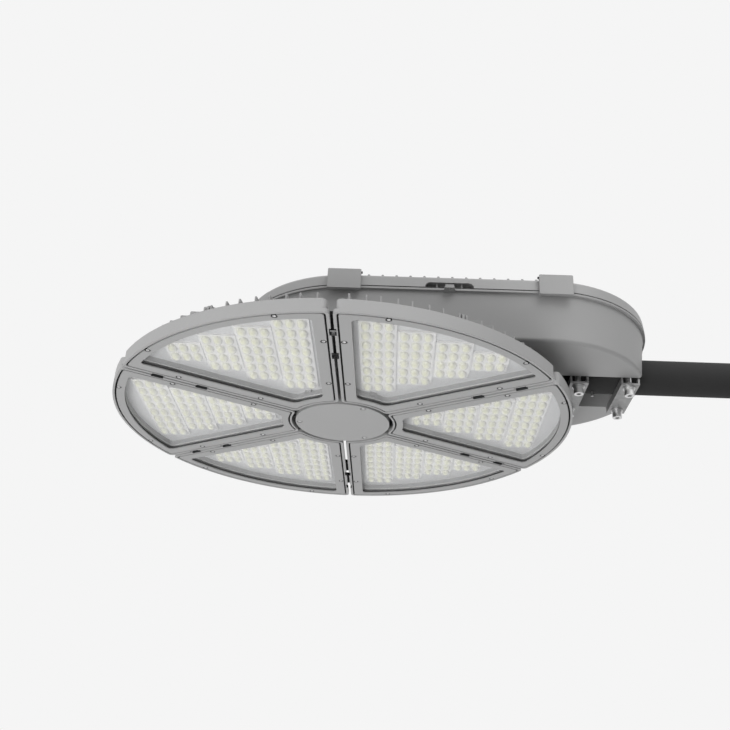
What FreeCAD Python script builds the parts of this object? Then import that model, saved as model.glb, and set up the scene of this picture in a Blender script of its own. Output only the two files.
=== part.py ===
import FreeCAD, Part
import math
import os
import re

import Sketcher

# LED high mast light: a disc of six wedge modules under a stadium gear box, clamped to a mast arm.
# Millimetres. The origin is the disc's centre on the plane of its front frames, which face down.
# X runs along the mast arm and Z runs up, away from the lit side.

MODULES = 6
HALF_WEDGE = 180 / MODULES
LENS_COLUMNS = 3
COVER_SCREWS = 3
PLATE_ROWS = (8, 6, 4, 2)

SIZES = {
    # Disc and module housings
    "disc_radius": 379,
    "module_inner_radius": 85.5,
    "module_gap": 4.7,
    "module_corner": 8,
    "seat_corner": 5,
    "lip_side": 4.65,
    "lip_outer": 3.5,
    "lip_inner": 3,
    "lip_thickness": 6,
    "skirt_inset": 4,
    "base_thickness": 3,
    "casting_bite": 1,
    "notch_length": 19,
    "notch_depth": 2.8,
    "notch_rim_distance": 57,
    "notch_spacing": 72,
    # Cooling fins
    "fin_pair_pitch": 43.2,
    "fin_pair_gap": 23.6,
    "fin_first_offset": 21.6,
    "fin_thickness": 2.4,
    "fin_spine": 4,
    "fin_root_distance": 18.5,
    "fin_setback": 19,
    "fin_rim_height": 20,
    "fin_height": 33,
    "fin_headroom": 8,
    "fin_rise_run": 45,
    # Front frame, glass and gasket
    "seam_width": 2.8,
    "frame_thickness": 4,
    "frame_side": 16.9,
    "frame_outer": 13,
    "frame_inner": 11,
    "window_corner": 7,
    "window_inner_corner": 16,
    "glass_thickness": 4,
    "glass_overlap": 5,
    "glass_clearance": 0.5,
    "gasket_thickness": 1.5,
    "gasket_setback": 1.5,
    "seal_lip": 1.2,
    "seal_drop": 1.8,
    "seal_height": 1.2,
    "entry_width": 11,
    "entry_reach": 4.5,
    "entry_height": 4,
    # Frame and cover screws
    "screw_radius": 2,
    "screw_head_radius": 2.6,
    "screw_head_height": 1.8,
    "screw_head_drop": 0.2,
    "screw_socket_radius": 1.4,
    "screw_socket_depth": 1.1,
    "screw_recess_radius": 4.7,
    "screw_seal_drop": 0.5,
    "screw_length": 10,
    "screw_clearance": 0.1,
    "screw_arc_inset": 9.2,
    "screw_arc_angle": 18,
    "screw_side_offset": 14.6,
    "screw_rim_distance": 85.9,
    "screw_hub_distance": 70.2,
    # LED boards and lens plates
    "board_thickness": 1.6,
    "plate_thickness": 1.5,
    "plate_rim_gap": 25.6,
    "plate_hub_gap": 13.7,
    "plate_space": 2.6,
    "plate_border": 2.5,
    "plate_end_gap": 31,
    "plate_side_gap": 8.1,
    "plate_side_drop": 13.9,
    "lens_row_gap": 4.8,
    "lens_column_gap": 3.1,
    "lens_height": 5.6,
    "lens_air_gap": 1.3,
    "lens_crown": 0.45,
    # Links between modules
    "link_length": 44,
    "link_height": 6,
    # Hub
    "hub_gap": 6.7,
    "cover_thickness": 4.4,
    "cover_screw_inset": 7,
    "hub_wall": 14,
    "hub_bore": 22,
    "carrier_border": 27,
    "carrier_thickness": 6,
    "spacer_radius": 72,
    "spacer_height": 6.4,
    "boss_radius": 11,
    "boss_distance": 52.5,
    "boss_angle": 15,
    "carrier_bolt_radius": 4,
    "carrier_bolt_head": 7,
    "carrier_bolt_head_height": 4,
    "carrier_bolt_reach": 20,
    # Gear box
    "box_center": 166,
    "box_half_length": 158,
    "box_end_radius": 184,
    "box_headroom": 15.3,
    "box_draft": 7,
    "box_wall": 4,
    "box_floor": 5,
    "box_edge_round": 6,
    "flange_width": 3.75,
    "flange_height": 3.6,
    "lid_gasket_height": 1.6,
    "lid_gasket_inset": 1,
    "lid_gasket_width": 6,
    "lid_height": 20.9,
    "lid_wall": 4,
    "lid_draft": 2.5,
    "lid_edge_round": 5,
    "rib_pitch": 22.1,
    "rib_width": 6.5,
    "rib_crest": 2.4,
    "rib_height": 2.9,
    "rib_edge_inset": 4,
    "rib_shift": 5.8,
    # Finger recess and lock lug
    "front_shift": 1.2,
    "recess_width": 76,
    "recess_height": 9.2,
    "recess_depth": 12,
    "recess_round": 8,
    "recess_rib_spread": 19.6,
    "recess_rib_width": 2.2,
    "recess_rib_setback": 5,
    "lug_width": 20,
    "lug_front_width": 15,
    "lug_height": 6.4,
    "lug_front_height": 2.8,
    "lug_reach": 7.25,
    "lug_lip_width": 13.7,
    "lug_lip_height": 3,
    "lug_lip_thickness": 5,
    "lug_hole_inset": 3.1,
    "lug_hole_radius": 2,
    # Lid hinge
    "hinge_spread": 120,
    "hinge_barrel": 7,
    "hinge_pin_radius": 3,
    "hinge_knuckle": 14,
    "hinge_side_gap": 0.3,
    "hinge_gap": 0.6,
    "hinge_fit": 0.05,
    # Clips
    "clip_spread": 166.2,
    "clip_width": 53,
    "clip_plate": 1.8,
    "clip_face": 7.25,
    "clip_corner": 2,
    "clip_drop": 8.4,
    "clip_hook_gap": 0.45,
    "clip_pin_reach": 3,
    "clip_pin_rise": -0.1,
    "clip_pin_radius": 1.2,
    "clip_pin_head": 1.9,
    "clip_pin_stub": 2,
    "clip_roof_gap": 0.35,
    "clip_roof_back": 0.8,
    "clip_cheek": 2.5,
    "clip_cheek_back": 3,
    "clip_ear_radius": 2,
    "clip_ear_width": 30,
    "clip_ear_drop": 4.5,
    "clip_ear_root": 10,
    "clip_fit": 0.05,
    # Mast arm, its channel and clamps
    "arm_radius": 30,
    "arm_wall": 4,
    "arm_overhang": 182,
    "arm_end_gap": 8,
    "channel_depth": 164,
    "channel_side_gap": 30,
    "channel_headroom": 3.5,
    "saddle_length": 26,
    "strap_end_distance": 36,
    "strap_spacing": 83,
    "strap_width": 30,
    "strap_end_gap": 1,
    "strap_height": 12,
    "strap_wall": 3,
    "bolt_offset": 16,
    "bolt_radius": 5,
    "bolt_head_radius": 8,
    "bolt_head_height": 10,
    "bolt_socket_radius": 4,
    "bolt_socket_depth": 5,
    "bolt_engagement": 18,
    "washer_radius": 10,
    "washer_thickness": 2,
    "spring_washer_radius": 9,
    "spring_washer_thickness": 2.4,
    "bolt_clearance": 0.25,
    "arm_pin_distance": 32,
    "arm_pin_radius": 2.5,
    "arm_pin_reach": 8,
    # Control gear
    "gear_tray_thickness": 2,
    "gear_tray_length": 340,
    "gear_tray_width": 250,
    "gear_tray_post": 6,
    "gear_gap": 14,
    "driver_length": 230,
    "driver_width": 68,
    "driver_height": 40,
    "driver_gap": 30,
    "driver_end_gap": 20,
    "driver_wire_gap": 6,
    "driver_foot": 14,
    "driver_foot_thickness": 3,
    "driver_slot_radius": 2.3,
    "driver_rib_width": 5,
    "driver_rib_depth": 2.5,
    "surge_length": 60,
    "surge_width": 36,
    "surge_height": 30,
    "surge_step": 12,
    "surge_step_height": 9,
    "terminal_length": 70,
    "terminal_width": 24,
    "terminal_height": 22,
    "terminal_step": 9,
    "terminal_hole_radius": 2.6,
    "terminal_hole_depth": 8,
    "gland_radius": 15,
    "gland_height": 14,
    "gland_collar_height": 5,
}

doc = FreeCAD.newDocument("led_high_mast_light")
sheet = doc.addObject("Spreadsheet::Sheet", "Sizes")
for row, (alias, value) in enumerate(SIZES.items(), start=1):
    sheet.set(f"A{row}", alias)
    sheet.set(f"B{row}", str(value))
    sheet.setAlias(f"B{row}", alias)
doc.recompute()


# Sizes, placing and combining

def bound(expression):
    """The expression with each named size pointing at its cell."""
    def cell(word):
        return f"Sizes.{word[0]}" if word[0] in SIZES else word[0]
    return re.sub(r"[a-z_]+", cell, expression)


def number(expression):
    """What the expression comes to now."""
    return float(sheet.evalExpression(expression))


def tie(thing, sizes):
    for name, expression in sizes.items():
        thing.setExpression(name, bound(expression))


def place(thing, point):
    tie(thing, dict(zip(("Placement.Base.x", "Placement.Base.y", "Placement.Base.z"), point)))
    return thing


def box(name, corner, sides):
    block = doc.addObject("Part::Box", name)
    tie(block, dict(zip(("Length", "Width", "Height"), sides)))
    return place(block, corner)


def cylinder(name, foot, radius, height, along="Z"):
    """A cylinder that runs from its foot point along an axis."""
    rod = doc.addObject("Part::Cylinder", name)
    directions = {"X": FreeCAD.Vector(1, 0, 0), "Y": FreeCAD.Vector(0, 1, 0), "Z": FreeCAD.Vector(0, 0, 1)}
    rod.Placement.Rotation = FreeCAD.Rotation(directions["Z"], directions[along])
    tie(rod, {"Radius": radius, "Height": height})
    return place(rod, foot)


def fuse(name, shapes):
    joined = doc.addObject("Part::MultiFuse", name)
    joined.Shapes = shapes
    joined.Refine = True
    return joined


def cut(name, base, tools):
    left = doc.addObject("Part::Cut", name)
    left.Base = base
    left.Tool = tools[0] if len(tools) == 1 else fuse(f"{name}_tools", tools)
    return left


def common(name, base, tool):
    shared = doc.addObject("Part::Common", name)
    shared.Base = base
    shared.Tool = tool
    return shared


def group(name, shapes):
    bundle = doc.addObject("Part::Compound", name)
    bundle.Links = shapes
    return bundle


def turned(name, thing, step):
    """A copy of a thing, turned about the disc's axis by a number of module steps."""
    copy = group(name, [thing])
    copy.Placement.Rotation = FreeCAD.Rotation(FreeCAD.Vector(0, 0, 1), step * 2 * HALF_WEDGE)
    return copy


def copy_at(thing, point):
    copy = doc.addObject("App::Link", f"{thing.Name}_copy")
    copy.LinkedObject = thing
    return place(copy, point)


# Drawn outlines

def flat_sketch(body, height):
    """A sketch on the body's XY plane, raised to a height."""
    sketch = body.newObject("Sketcher::SketchObject", "Outline")
    plane = next(item for item in body.Origin.OriginFeatures if item.Role == "XY_Plane")
    sketch.AttachmentSupport = (plane, [""])
    sketch.MapMode = "FlatFace"
    tie(sketch, {"AttachmentOffset.Base.z": height})
    return sketch


def hold(sketch, kind, *arguments):
    """Adds a dimension whose last argument is an expression."""
    expression = arguments[-1]
    index = sketch.addConstraint(Sketcher.Constraint(kind, *arguments[:-1], number(expression)))
    tie(sketch, {f"Constraints[{index}]": expression})


def pad(body, sketch, height, taper=None):
    raised = body.newObject("PartDesign::Pad", "Pad")
    raised.Profile = sketch
    tie(raised, {"Length": height})
    if taper:
        tie(raised, {"TaperAngle": taper})
    return raised


def round_edges(body, feature, radius, wanted):
    """Rounds the edges of a feature that a test picks out."""
    doc.recompute()
    names = [f"Edge{i}" for i, edge in enumerate(feature.Shape.Edges, start=1) if wanted(edge)]
    fillet = body.newObject("PartDesign::Fillet", "Rounding")
    fillet.Base = (feature, names)
    tie(fillet, {"Radius": radius})
    return fillet


def upright(edge):
    """True for a straight edge that runs along Z."""
    ends = [vertex.Point for vertex in edge.Vertexes]
    return len(ends) == 2 and abs(ends[0].x - ends[1].x) + abs(ends[0].y - ends[1].y) < 1e-6


def axis_distance(edge):
    point = edge.Vertexes[0].Point
    return math.hypot(point.x, point.y)


def sector(name, offset, inner, outer, start, height, corner=None, inner_corner=None):
    """A wedge prism about +X: two arcs about the axis and two sides set in from the gap lines."""
    body = doc.addObject("PartDesign::Body", name)
    sketch = flat_sketch(body, start)
    gap_line = FreeCAD.Rotation(FreeCAD.Vector(0, 0, 1), HALF_WEDGE)
    ends = []
    for radius in (number(inner), number(outer)):
        along = (radius ** 2 - number(offset) ** 2) ** 0.5
        ends.append(gap_line.multVec(FreeCAD.Vector(along, -number(offset), 0)))
    upper = [FreeCAD.Vector(*end) for end in ends]
    lower = [FreeCAD.Vector(end.x, -end.y, 0) for end in ends]
    sketch.addGeometry(Part.LineSegment(lower[0], lower[1]))
    sketch.addGeometry(Part.LineSegment(upper[0], upper[1]))
    for near, far in zip(lower, upper):
        middle = FreeCAD.Vector(near.Length, 0, 0)
        sketch.addGeometry(Part.Arc(near, middle, far))
    inner_arc, outer_arc = 2, 3
    for arc in (inner_arc, outer_arc):
        sketch.addConstraint(Sketcher.Constraint("Coincident", arc, 3, -1, 1))
    joints = ((0, 1, inner_arc, 1), (0, 2, outer_arc, 1), (1, 1, inner_arc, 2), (1, 2, outer_arc, 2))
    for joint in joints:
        sketch.addConstraint(Sketcher.Constraint("Coincident", *joint))
    hold(sketch, "Radius", inner_arc, inner)
    hold(sketch, "Radius", outer_arc, outer)
    for side, slope in ((0, -HALF_WEDGE), (1, HALF_WEDGE)):
        sketch.addConstraint(Sketcher.Constraint("Angle", side, math.radians(slope)))
        hold(sketch, "Distance", -1, 1, side, offset)
    prism = pad(body, sketch, height)
    if corner:
        middle = (number(inner) + number(outer)) / 2
        rounded = round_edges(body, prism, corner,
                              lambda edge: upright(edge) and axis_distance(edge) > middle)
        round_edges(body, rounded, inner_corner or corner,
                    lambda edge: upright(edge) and axis_distance(edge) < middle)
    return body


def stadium(name, radius, start, height, taper=None, edge_round=None, round_top=False):
    """A slot-shaped prism about the gear box's centre, with an optional draft and rounded rim."""
    body = doc.addObject("PartDesign::Body", name)
    sketch = flat_sketch(body, start)
    left = number("box_center - box_half_length")
    right = number("box_center + box_half_length")
    reach = number(radius)
    ends = ((left, -reach), (right, -reach), (right, reach), (left, reach))
    corners = [FreeCAD.Vector(x, y, 0) for x, y in ends]
    tips = (FreeCAD.Vector(right + reach, 0, 0), FreeCAD.Vector(left - reach, 0, 0))
    sketch.addGeometry(Part.LineSegment(corners[0], corners[1]))
    sketch.addGeometry(Part.Arc(corners[1], tips[0], corners[2]))
    sketch.addGeometry(Part.LineSegment(corners[2], corners[3]))
    sketch.addGeometry(Part.Arc(corners[3], tips[1], corners[0]))
    for joint in ((0, 2, 1, 1), (1, 2, 2, 1), (2, 2, 3, 1), (3, 2, 0, 1)):
        sketch.addConstraint(Sketcher.Constraint("Tangent", *joint))
    for arc in (1, 3):
        sketch.addConstraint(Sketcher.Constraint("PointOnObject", arc, 3, -1))
    sketch.addConstraint(Sketcher.Constraint("Equal", 1, 3))
    hold(sketch, "Radius", 1, radius)
    hold(sketch, "DistanceX", -1, 1, 1, 3, "box_center + box_half_length")
    hold(sketch, "DistanceX", 3, 3, 1, 3, "2 * box_half_length")
    prism = pad(body, sketch, height, taper)
    if edge_round:
        level = number(f"{start} + {height}") if round_top else number(start)
        round_edges(body, prism, edge_round, lambda edge: all(abs(v.Z - level) < 1e-6 for v in edge.Vertexes))
    return body


nodes = []


def node(label, thing):
    """Names a finished sub-part."""
    thing.Label = label
    nodes.append(thing)
    return thing


# Levels, counted up from the front plane
glass_top = "(frame_thickness + glass_thickness)"
ledge = f"({glass_top} + gasket_thickness)"
plate_face = f"({glass_top} + lens_air_gap + lens_height)"
board_face = f"({plate_face} + plate_thickness)"
tray_floor = f"({board_face} + board_thickness)"
skirt_top = f"({tray_floor} + base_thickness)"
boss_top = f"({skirt_top} + fin_height + fin_headroom)"
carrier_top = f"({boss_top} + carrier_thickness)"
box_bottom = f"({carrier_top} + spacer_height)"
floor_top = f"({box_bottom} + box_floor)"
box_height = "(2 * arm_radius + channel_headroom + box_wall + box_headroom)"
flange_top = f"({box_bottom} + {box_height})"
lid_bottom = f"({flange_top} + lid_gasket_height)"
lid_top = f"({lid_bottom} + lid_height)"
arm_axis = f"({box_bottom} + arm_radius)"

# Offsets from the middle of the gap between two modules
lip_edge = "(module_gap / 2)"
skirt_edge = f"({lip_edge} + skirt_inset)"
seat_edge = f"({lip_edge} + lip_side)"
frame_edge = f"({seat_edge} + seam_width)"
window_edge = f"({frame_edge} + frame_side)"
glass_edge = f"({window_edge} - glass_overlap)"
tray_edge = f"({window_edge} - gasket_setback)"

# Radii of the module's arcs and of the hub
seat_outer = "(disc_radius - lip_outer)"
seat_inner = "(module_inner_radius + lip_inner)"
frame_outer_radius = f"({seat_outer} - seam_width)"
frame_inner_radius = f"({seat_inner} + seam_width)"
window_outer = f"({frame_outer_radius} - frame_outer)"
window_inner = f"({frame_inner_radius} + frame_inner)"
glass_outer = f"({window_outer} + glass_overlap)"
glass_inner = f"({window_inner} - glass_overlap)"
tray_outer = f"({window_outer} + gasket_setback)"
tray_inner = f"({window_inner} - gasket_setback)"
notch_outer = "(disc_radius - notch_rim_distance)"
notch_inner = f"({notch_outer} - notch_spacing)"
boss_circle = "(module_inner_radius + boss_distance)"
cover_radius = "(module_inner_radius - hub_gap)"
cover_screw_circle = f"({cover_radius} - cover_screw_inset)"

# Lens plates: as many columns as fit between hub and rim, with rows along the longest plate
plate_count = len(PLATE_ROWS)
plate_span = f"({window_outer} - {window_inner} - plate_rim_gap - plate_hub_gap + plate_space)"
plate_pitch = f"({plate_span} / {plate_count})"
plate_width = f"({plate_pitch} - plate_space)"
row_pitch = f"(({window_outer} - {window_inner} - plate_end_gap) / {max(PLATE_ROWS)})"
column_pitch = f"(({plate_width} - plate_border) / {LENS_COLUMNS})"
lens_length = f"({row_pitch} - lens_row_gap)"
lens_width = f"({column_pitch} - lens_column_gap)"
plate_end_x = f"({window_outer} - plate_rim_gap - {plate_width} / 2)"
plate_side_x = f"({window_edge} + plate_side_gap + {plate_width} / 2)"
plate_side_y = f"(({window_outer} + {window_inner}) / 2 - plate_side_drop)"

# Places along the gear box and the arm
box_right = "(box_center + box_half_length + box_end_radius)"
channel_start = f"({box_right} - channel_depth)"
channel_half_width = "(arm_radius + channel_side_gap)"
arm_start = f"({channel_start} + arm_end_gap)"
arm_length = f"({box_right} + arm_overhang - {arm_start})"
strap_last = f"({box_right} - strap_end_distance)"
strap_first = f"({strap_last} - strap_spacing)"
strap_length = f"(2 * ({channel_half_width} - strap_end_gap))"
bolt_side = "(arm_radius + bolt_offset)"
arm_pin_x = f"({strap_first} + arm_pin_distance)"


# Frame screws: socket heads sunk in the front frame, each with a rubber ring round it

def gap_side_point(along, offset, side):
    """A point at a distance along a gap line and set in from it, on either side of the wedge."""
    x = f"{along} * cos({HALF_WEDGE}) + {offset} * sin({HALF_WEDGE})"
    y = f"{side} * ({along} * sin({HALF_WEDGE}) - {offset} * cos({HALF_WEDGE}))"
    return x, y


screw_points = []
for side in (-1, 1):
    arc_radius = "(disc_radius - screw_arc_inset)"
    screw_points.append((f"{arc_radius} * cos(screw_arc_angle)",
                         f"{side} * {arc_radius} * sin(screw_arc_angle)"))
    for along in ("(disc_radius - screw_rim_distance)", "(module_inner_radius + screw_hub_distance)"):
        screw_points.append(gap_side_point(along, "screw_side_offset", side))
screw_seat = "(screw_head_drop + screw_head_height)"


def hexagon(name, foot, radius, depth):
    prism = doc.addObject("Part::Prism", name)
    tie(prism, {"Circumradius": radius, "Height": depth})
    return place(prism, foot)


def screw_at(name, point):
    """A socket screw driven up from the front plane."""
    x, y = point
    head = cylinder(f"{name}_head", (x, y, "screw_head_drop"), "screw_head_radius", "screw_head_height")
    shank = cylinder(f"{name}_shank", (x, y, screw_seat), "screw_radius", f"screw_length - {screw_seat}")
    socket = hexagon(f"{name}_socket", (x, y, "screw_head_drop"), "screw_socket_radius", "screw_socket_depth")
    return cut(name, fuse(f"{name}_solid", [head, shank]), [socket])


def screw_hole(name, point):
    """The recess and the hole that a screw goes into."""
    x, y = point
    recess = cylinder(f"{name}_recess", (x, y, "0"), "screw_recess_radius", screw_seat)
    bore = cylinder(f"{name}_bore", (x, y, "0"), "screw_radius + screw_clearance",
                    "screw_length + screw_clearance")
    return fuse(name, [recess, bore])


def screw_washer(name, point):
    """The rubber ring round a screw's head."""
    x, y = point
    height = f"{screw_seat} - screw_seal_drop"
    disc = cylinder(f"{name}_disc", (x, y, "screw_seal_drop"),
                    "screw_recess_radius - screw_clearance", height)
    bore = cylinder(f"{name}_bore", (x, y, "screw_seal_drop"), "screw_head_radius + screw_clearance", height)
    return cut(name, disc, [bore])


# Module housing: cast trough with a lip, a seat for the frame, a tray for the boards, and fins on its back

lip = sector("lip", lip_edge, "module_inner_radius", "disc_radius", "0", "lip_thickness", "module_corner")
skirt = sector("skirt", skirt_edge, "module_inner_radius + skirt_inset", "disc_radius", "0", skirt_top,
               "module_corner")
frame_seat = sector("frame_seat", seat_edge, seat_inner, seat_outer, "0", "frame_thickness", "seat_corner")
window_corners = ("window_corner", "window_inner_corner")
glass_seat = sector("glass_seat", f"{glass_edge} - glass_clearance", f"{glass_inner} - glass_clearance",
                    f"{glass_outer} + glass_clearance", "0", ledge, *window_corners)
tray = sector("tray", tray_edge, tray_inner, tray_outer, "0", tray_floor, *window_corners)
screw_holes = [screw_hole("screw_hole", point) for point in screw_points]
wire_entry = box("wire_entry",
                 (f"{tray_inner} - entry_reach", "-entry_width / 2", f"{tray_floor} - entry_height"),
                 ("2 * entry_reach", "entry_width", "entry_height + casting_bite"))

notches = []
for side in (-1, 1):
    for along in (notch_outer, notch_inner):
        notch = box("notch", ("0", "0", "0"), ("notch_length", "notch_depth + casting_bite", "lip_thickness"))
        notch.Placement.Rotation = FreeCAD.Rotation(FreeCAD.Vector(0, 0, 1), side * HALF_WEDGE)
        inset = f"({lip_edge} + notch_depth)" if side > 0 else f"({lip_edge} - casting_bite)"
        start = f"({along} - notch_length / 2)"
        x = f"{start} * cos({HALF_WEDGE}) + {inset} * sin({HALF_WEDGE})"
        y = f"{side} * ({start} * sin({HALF_WEDGE}) - {inset} * cos({HALF_WEDGE}))"
        notches.append(place(notch, (x, y, "0")))

fin_end = "(disc_radius - fin_setback)"
fin_foot = f"({skirt_top} - casting_bite)"
fin_pairs = int(number(f"{fin_end} * sin({HALF_WEDGE}) / fin_pair_pitch"))
fin_offsets = []
for pair in range(fin_pairs):
    for second in (0, 1):
        fin_offsets.append(f"(fin_first_offset + {pair} * fin_pair_pitch + {second} * fin_pair_gap)")
fin_boxes = [box("fin_spine", ("0", "-fin_spine / 2", fin_foot),
                 ("disc_radius", "fin_spine", "fin_height + casting_bite"))]
for side in (-1, 1):
    for offset in fin_offsets:
        start = f"({offset} / tan({HALF_WEDGE}))"
        fin = box("fin", ("0", "0", "0"),
                  (f"disc_radius - {start}", "fin_thickness", "fin_height + casting_bite"))
        fin.Placement.Rotation = FreeCAD.Rotation(FreeCAD.Vector(0, 0, 1), side * HALF_WEDGE)
        x, y = gap_side_point(start, f"({offset} + {side} * fin_thickness / 2)", side)
        fin_boxes.append(place(fin, (x, y, fin_foot)))
fin_zone = sector("fin_zone", skirt_edge, "module_inner_radius + fin_root_distance", fin_end, fin_foot,
                  "fin_height + casting_bite")
fin_slope = doc.addObject("Part::Cone", "fin_slope")
tie(fin_slope, {"Radius1": fin_end, "Radius2": f"{fin_end} - fin_rise_run",
                "Height": "fin_height - fin_rim_height"})
place(fin_slope, ("0", "0", f"{skirt_top} + fin_rim_height"))
fin_base = cylinder("fin_base", ("0", "0", fin_foot), fin_end, "fin_rim_height + casting_bite")
fin_shape = common("fin_shape", fuse("fin_envelope", [fin_slope, fin_base]), fin_zone)
fins = common("fins", fuse("fin_row", fin_boxes), fin_shape)

boss_points = [(f"{boss_circle} * cos(boss_angle)", f"{side} * {boss_circle} * sin(boss_angle)")
               for side in (-1, 1)]
bosses = [cylinder("boss", (x, y, fin_foot), "boss_radius", f"{boss_top} - {fin_foot}")
          for x, y in boss_points]
boss_holes = [cylinder("boss_hole", (x, y, f"{boss_top} - carrier_bolt_reach"),
                       "carrier_bolt_radius + bolt_clearance", "carrier_bolt_reach") for x, y in boss_points]
hollow = cut("hollow", tray, [wire_entry])
housing = cut("housing", fuse("housing_solid", [lip, skirt, fins, *bosses]),
              [frame_seat, glass_seat, hollow, *screw_holes, *notches, *boss_holes])

# Front frame: flat cast bezel around the window, with a counterbored hole at each screw
frame_plate = sector("frame_plate", frame_edge, frame_inner_radius, frame_outer_radius, "0",
                     "frame_thickness", "seat_corner")
window = sector("window", window_edge, window_inner, window_outer, "0", "frame_thickness", *window_corners)
seal_top = "(frame_thickness - seal_drop)"
seal_rebate = sector("seal_rebate", f"{window_edge} - seal_lip", f"{window_inner} - seal_lip",
                     f"{window_outer} + seal_lip", "seal_drop", seal_top, *window_corners)
frame = cut("frame", frame_plate, [window, seal_rebate, *screw_holes])

# Glass: flat toughened pane behind the frame
glass = sector("glass", glass_edge, glass_inner, glass_outer, "frame_thickness", "glass_thickness",
               *window_corners)

# Gasket: flat ring between the pane and the housing's ledge
gasket_plate = sector("gasket_plate", glass_edge, glass_inner, glass_outer, glass_top, "gasket_thickness",
                      *window_corners)
gasket_hole = sector("gasket_hole", tray_edge, tray_inner, tray_outer, glass_top, "gasket_thickness",
                     *window_corners)
gasket = cut("gasket", gasket_plate, [gasket_hole])

# Frame seals: a lip in the window's rebate, a strip in the seam round the frame, and the screws' rings
lip_hole = sector("lip_hole", window_edge, window_inner, window_outer, "seal_drop", seal_top, *window_corners)
strip_foot = "(frame_thickness - seal_height)"
strip_plate = sector("strip_plate", seat_edge, seat_inner, seat_outer, strip_foot, "seal_height",
                     "seat_corner")
strip_hole = sector("strip_hole", frame_edge, frame_inner_radius, frame_outer_radius, strip_foot,
                    "seal_height", "seat_corner")
seals = [cut("window_lip", seal_rebate, [lip_hole]), cut("seam_strip", strip_plate, [strip_hole])]
seals += [screw_washer("screw_washer", point) for point in screw_points]
module_seals = group("module_seals", seals)

# Lens plates: moulded clear plates, one raised lens over each LED

def lens_at(x, y):
    """One lens as a frustum standing on the plate and pointing down."""
    lens = doc.addObject("Part::Wedge", "lens")
    lens.Placement.Rotation = FreeCAD.Rotation(FreeCAD.Vector(1, 0, 0), -90)
    tie(lens, {"Xmin": f"-{lens_width} / 2", "Xmax": f"{lens_width} / 2",
               "Zmin": f"-{lens_length} / 2", "Zmax": f"{lens_length} / 2",
               "X2min": f"-lens_crown * {lens_width} / 2", "X2max": f"lens_crown * {lens_width} / 2",
               "Z2min": f"-lens_crown * {lens_length} / 2", "Z2max": f"lens_crown * {lens_length} / 2",
               "Ymin": "-plate_thickness / 2", "Ymax": "lens_height"})
    return place(lens, (x, y, "0"))


def lens_plate(rows):
    """A plate with its lenses, centred on its own front face."""
    length = f"{rows} * {row_pitch}"
    plate = box("plate", (f"-{plate_width} / 2", f"-{length} / 2", "0"),
                (plate_width, length, "plate_thickness"))
    lenses = []
    for column in range(LENS_COLUMNS):
        for row in range(int(rows)):
            x = f"{column - (LENS_COLUMNS - 1) / 2} * {column_pitch}"
            y = f"{row - (rows - 1) / 2} * {row_pitch}"
            lenses.append(lens_at(x, y))
    return fuse("lens_plate", [plate, *lenses])


lens_plates = [lens_plate(rows) for rows in PLATE_ROWS]


def plate_points(number_of_module):
    """Middles of a module's plates: the long one at the rim in the end modules, by the gap in the others."""
    turn = FreeCAD.Rotation(FreeCAD.Vector(0, 0, 1), number_of_module * 2 * HALF_WEDGE)
    direction = turn.multVec(FreeCAD.Vector(1, 0, 0))
    across = 1 if direction.x > 0 else -1
    if abs(direction.y) < 0.5:
        return [(f"{across} * ({plate_end_x} - {step} * {plate_pitch})", "0") for step in range(plate_count)]
    depth = 1 if direction.y > 0 else -1
    return [(f"{across} * ({plate_side_x} + {step} * {plate_pitch})", f"{depth} * {plate_side_y}")
            for step in range(plate_count)]


# The six modules
module_screws = group("module_screws", [screw_at("frame_screw", point) for point in screw_points])
gasket_copies = []
seal_copies = []
screw_copies = []
for step in range(MODULES):
    name = f"module_{step + 1}"
    node(f"{name}_housing", turned(f"{name}_housing", housing, step))
    node(f"{name}_frame", turned(f"{name}_frame", frame, step))
    node(f"{name}_glass", turned(f"{name}_glass", glass, step))
    points = plate_points(step)
    boards = []
    for rows, (x, y) in zip(PLATE_ROWS, points):
        length = f"{rows} * {row_pitch}"
        boards.append(box("board", (f"{x} - {plate_width} / 2", f"{y} - {length} / 2", board_face),
                          (plate_width, length, "board_thickness")))
    node(f"{name}_led_boards", group(f"{name}_led_boards", boards))
    plates = [copy_at(plate, (x, y, plate_face)) for plate, (x, y) in zip(lens_plates, points)]
    node(f"{name}_lens_plates", group(f"{name}_lens_plates", plates))
    gasket_copies.append(turned("gasket_copy", gasket, step))
    seal_copies.append(turned("seal_copy", module_seals, step))
    screw_copies.append(turned("screw_copy", module_screws, step))
node("glass_gaskets", group("glass_gaskets", gasket_copies))
node("frame_seals", group("frame_seals", seal_copies))
node("frame_screws", group("frame_screws", screw_copies))

# Link blocks: two in each gap, tying the skirts of neighbouring modules together
links = []
for along in (notch_outer, notch_inner):
    block = box("link", (f"{along} - link_length / 2", f"-{skirt_edge}", f"{skirt_top} - link_height"),
                ("link_length", f"2 * {skirt_edge}", "link_height"))
    links += [turned("link_copy", block, step + 0.5) for step in range(MODULES)]
node("link_blocks", group("link_blocks", links))

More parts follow.
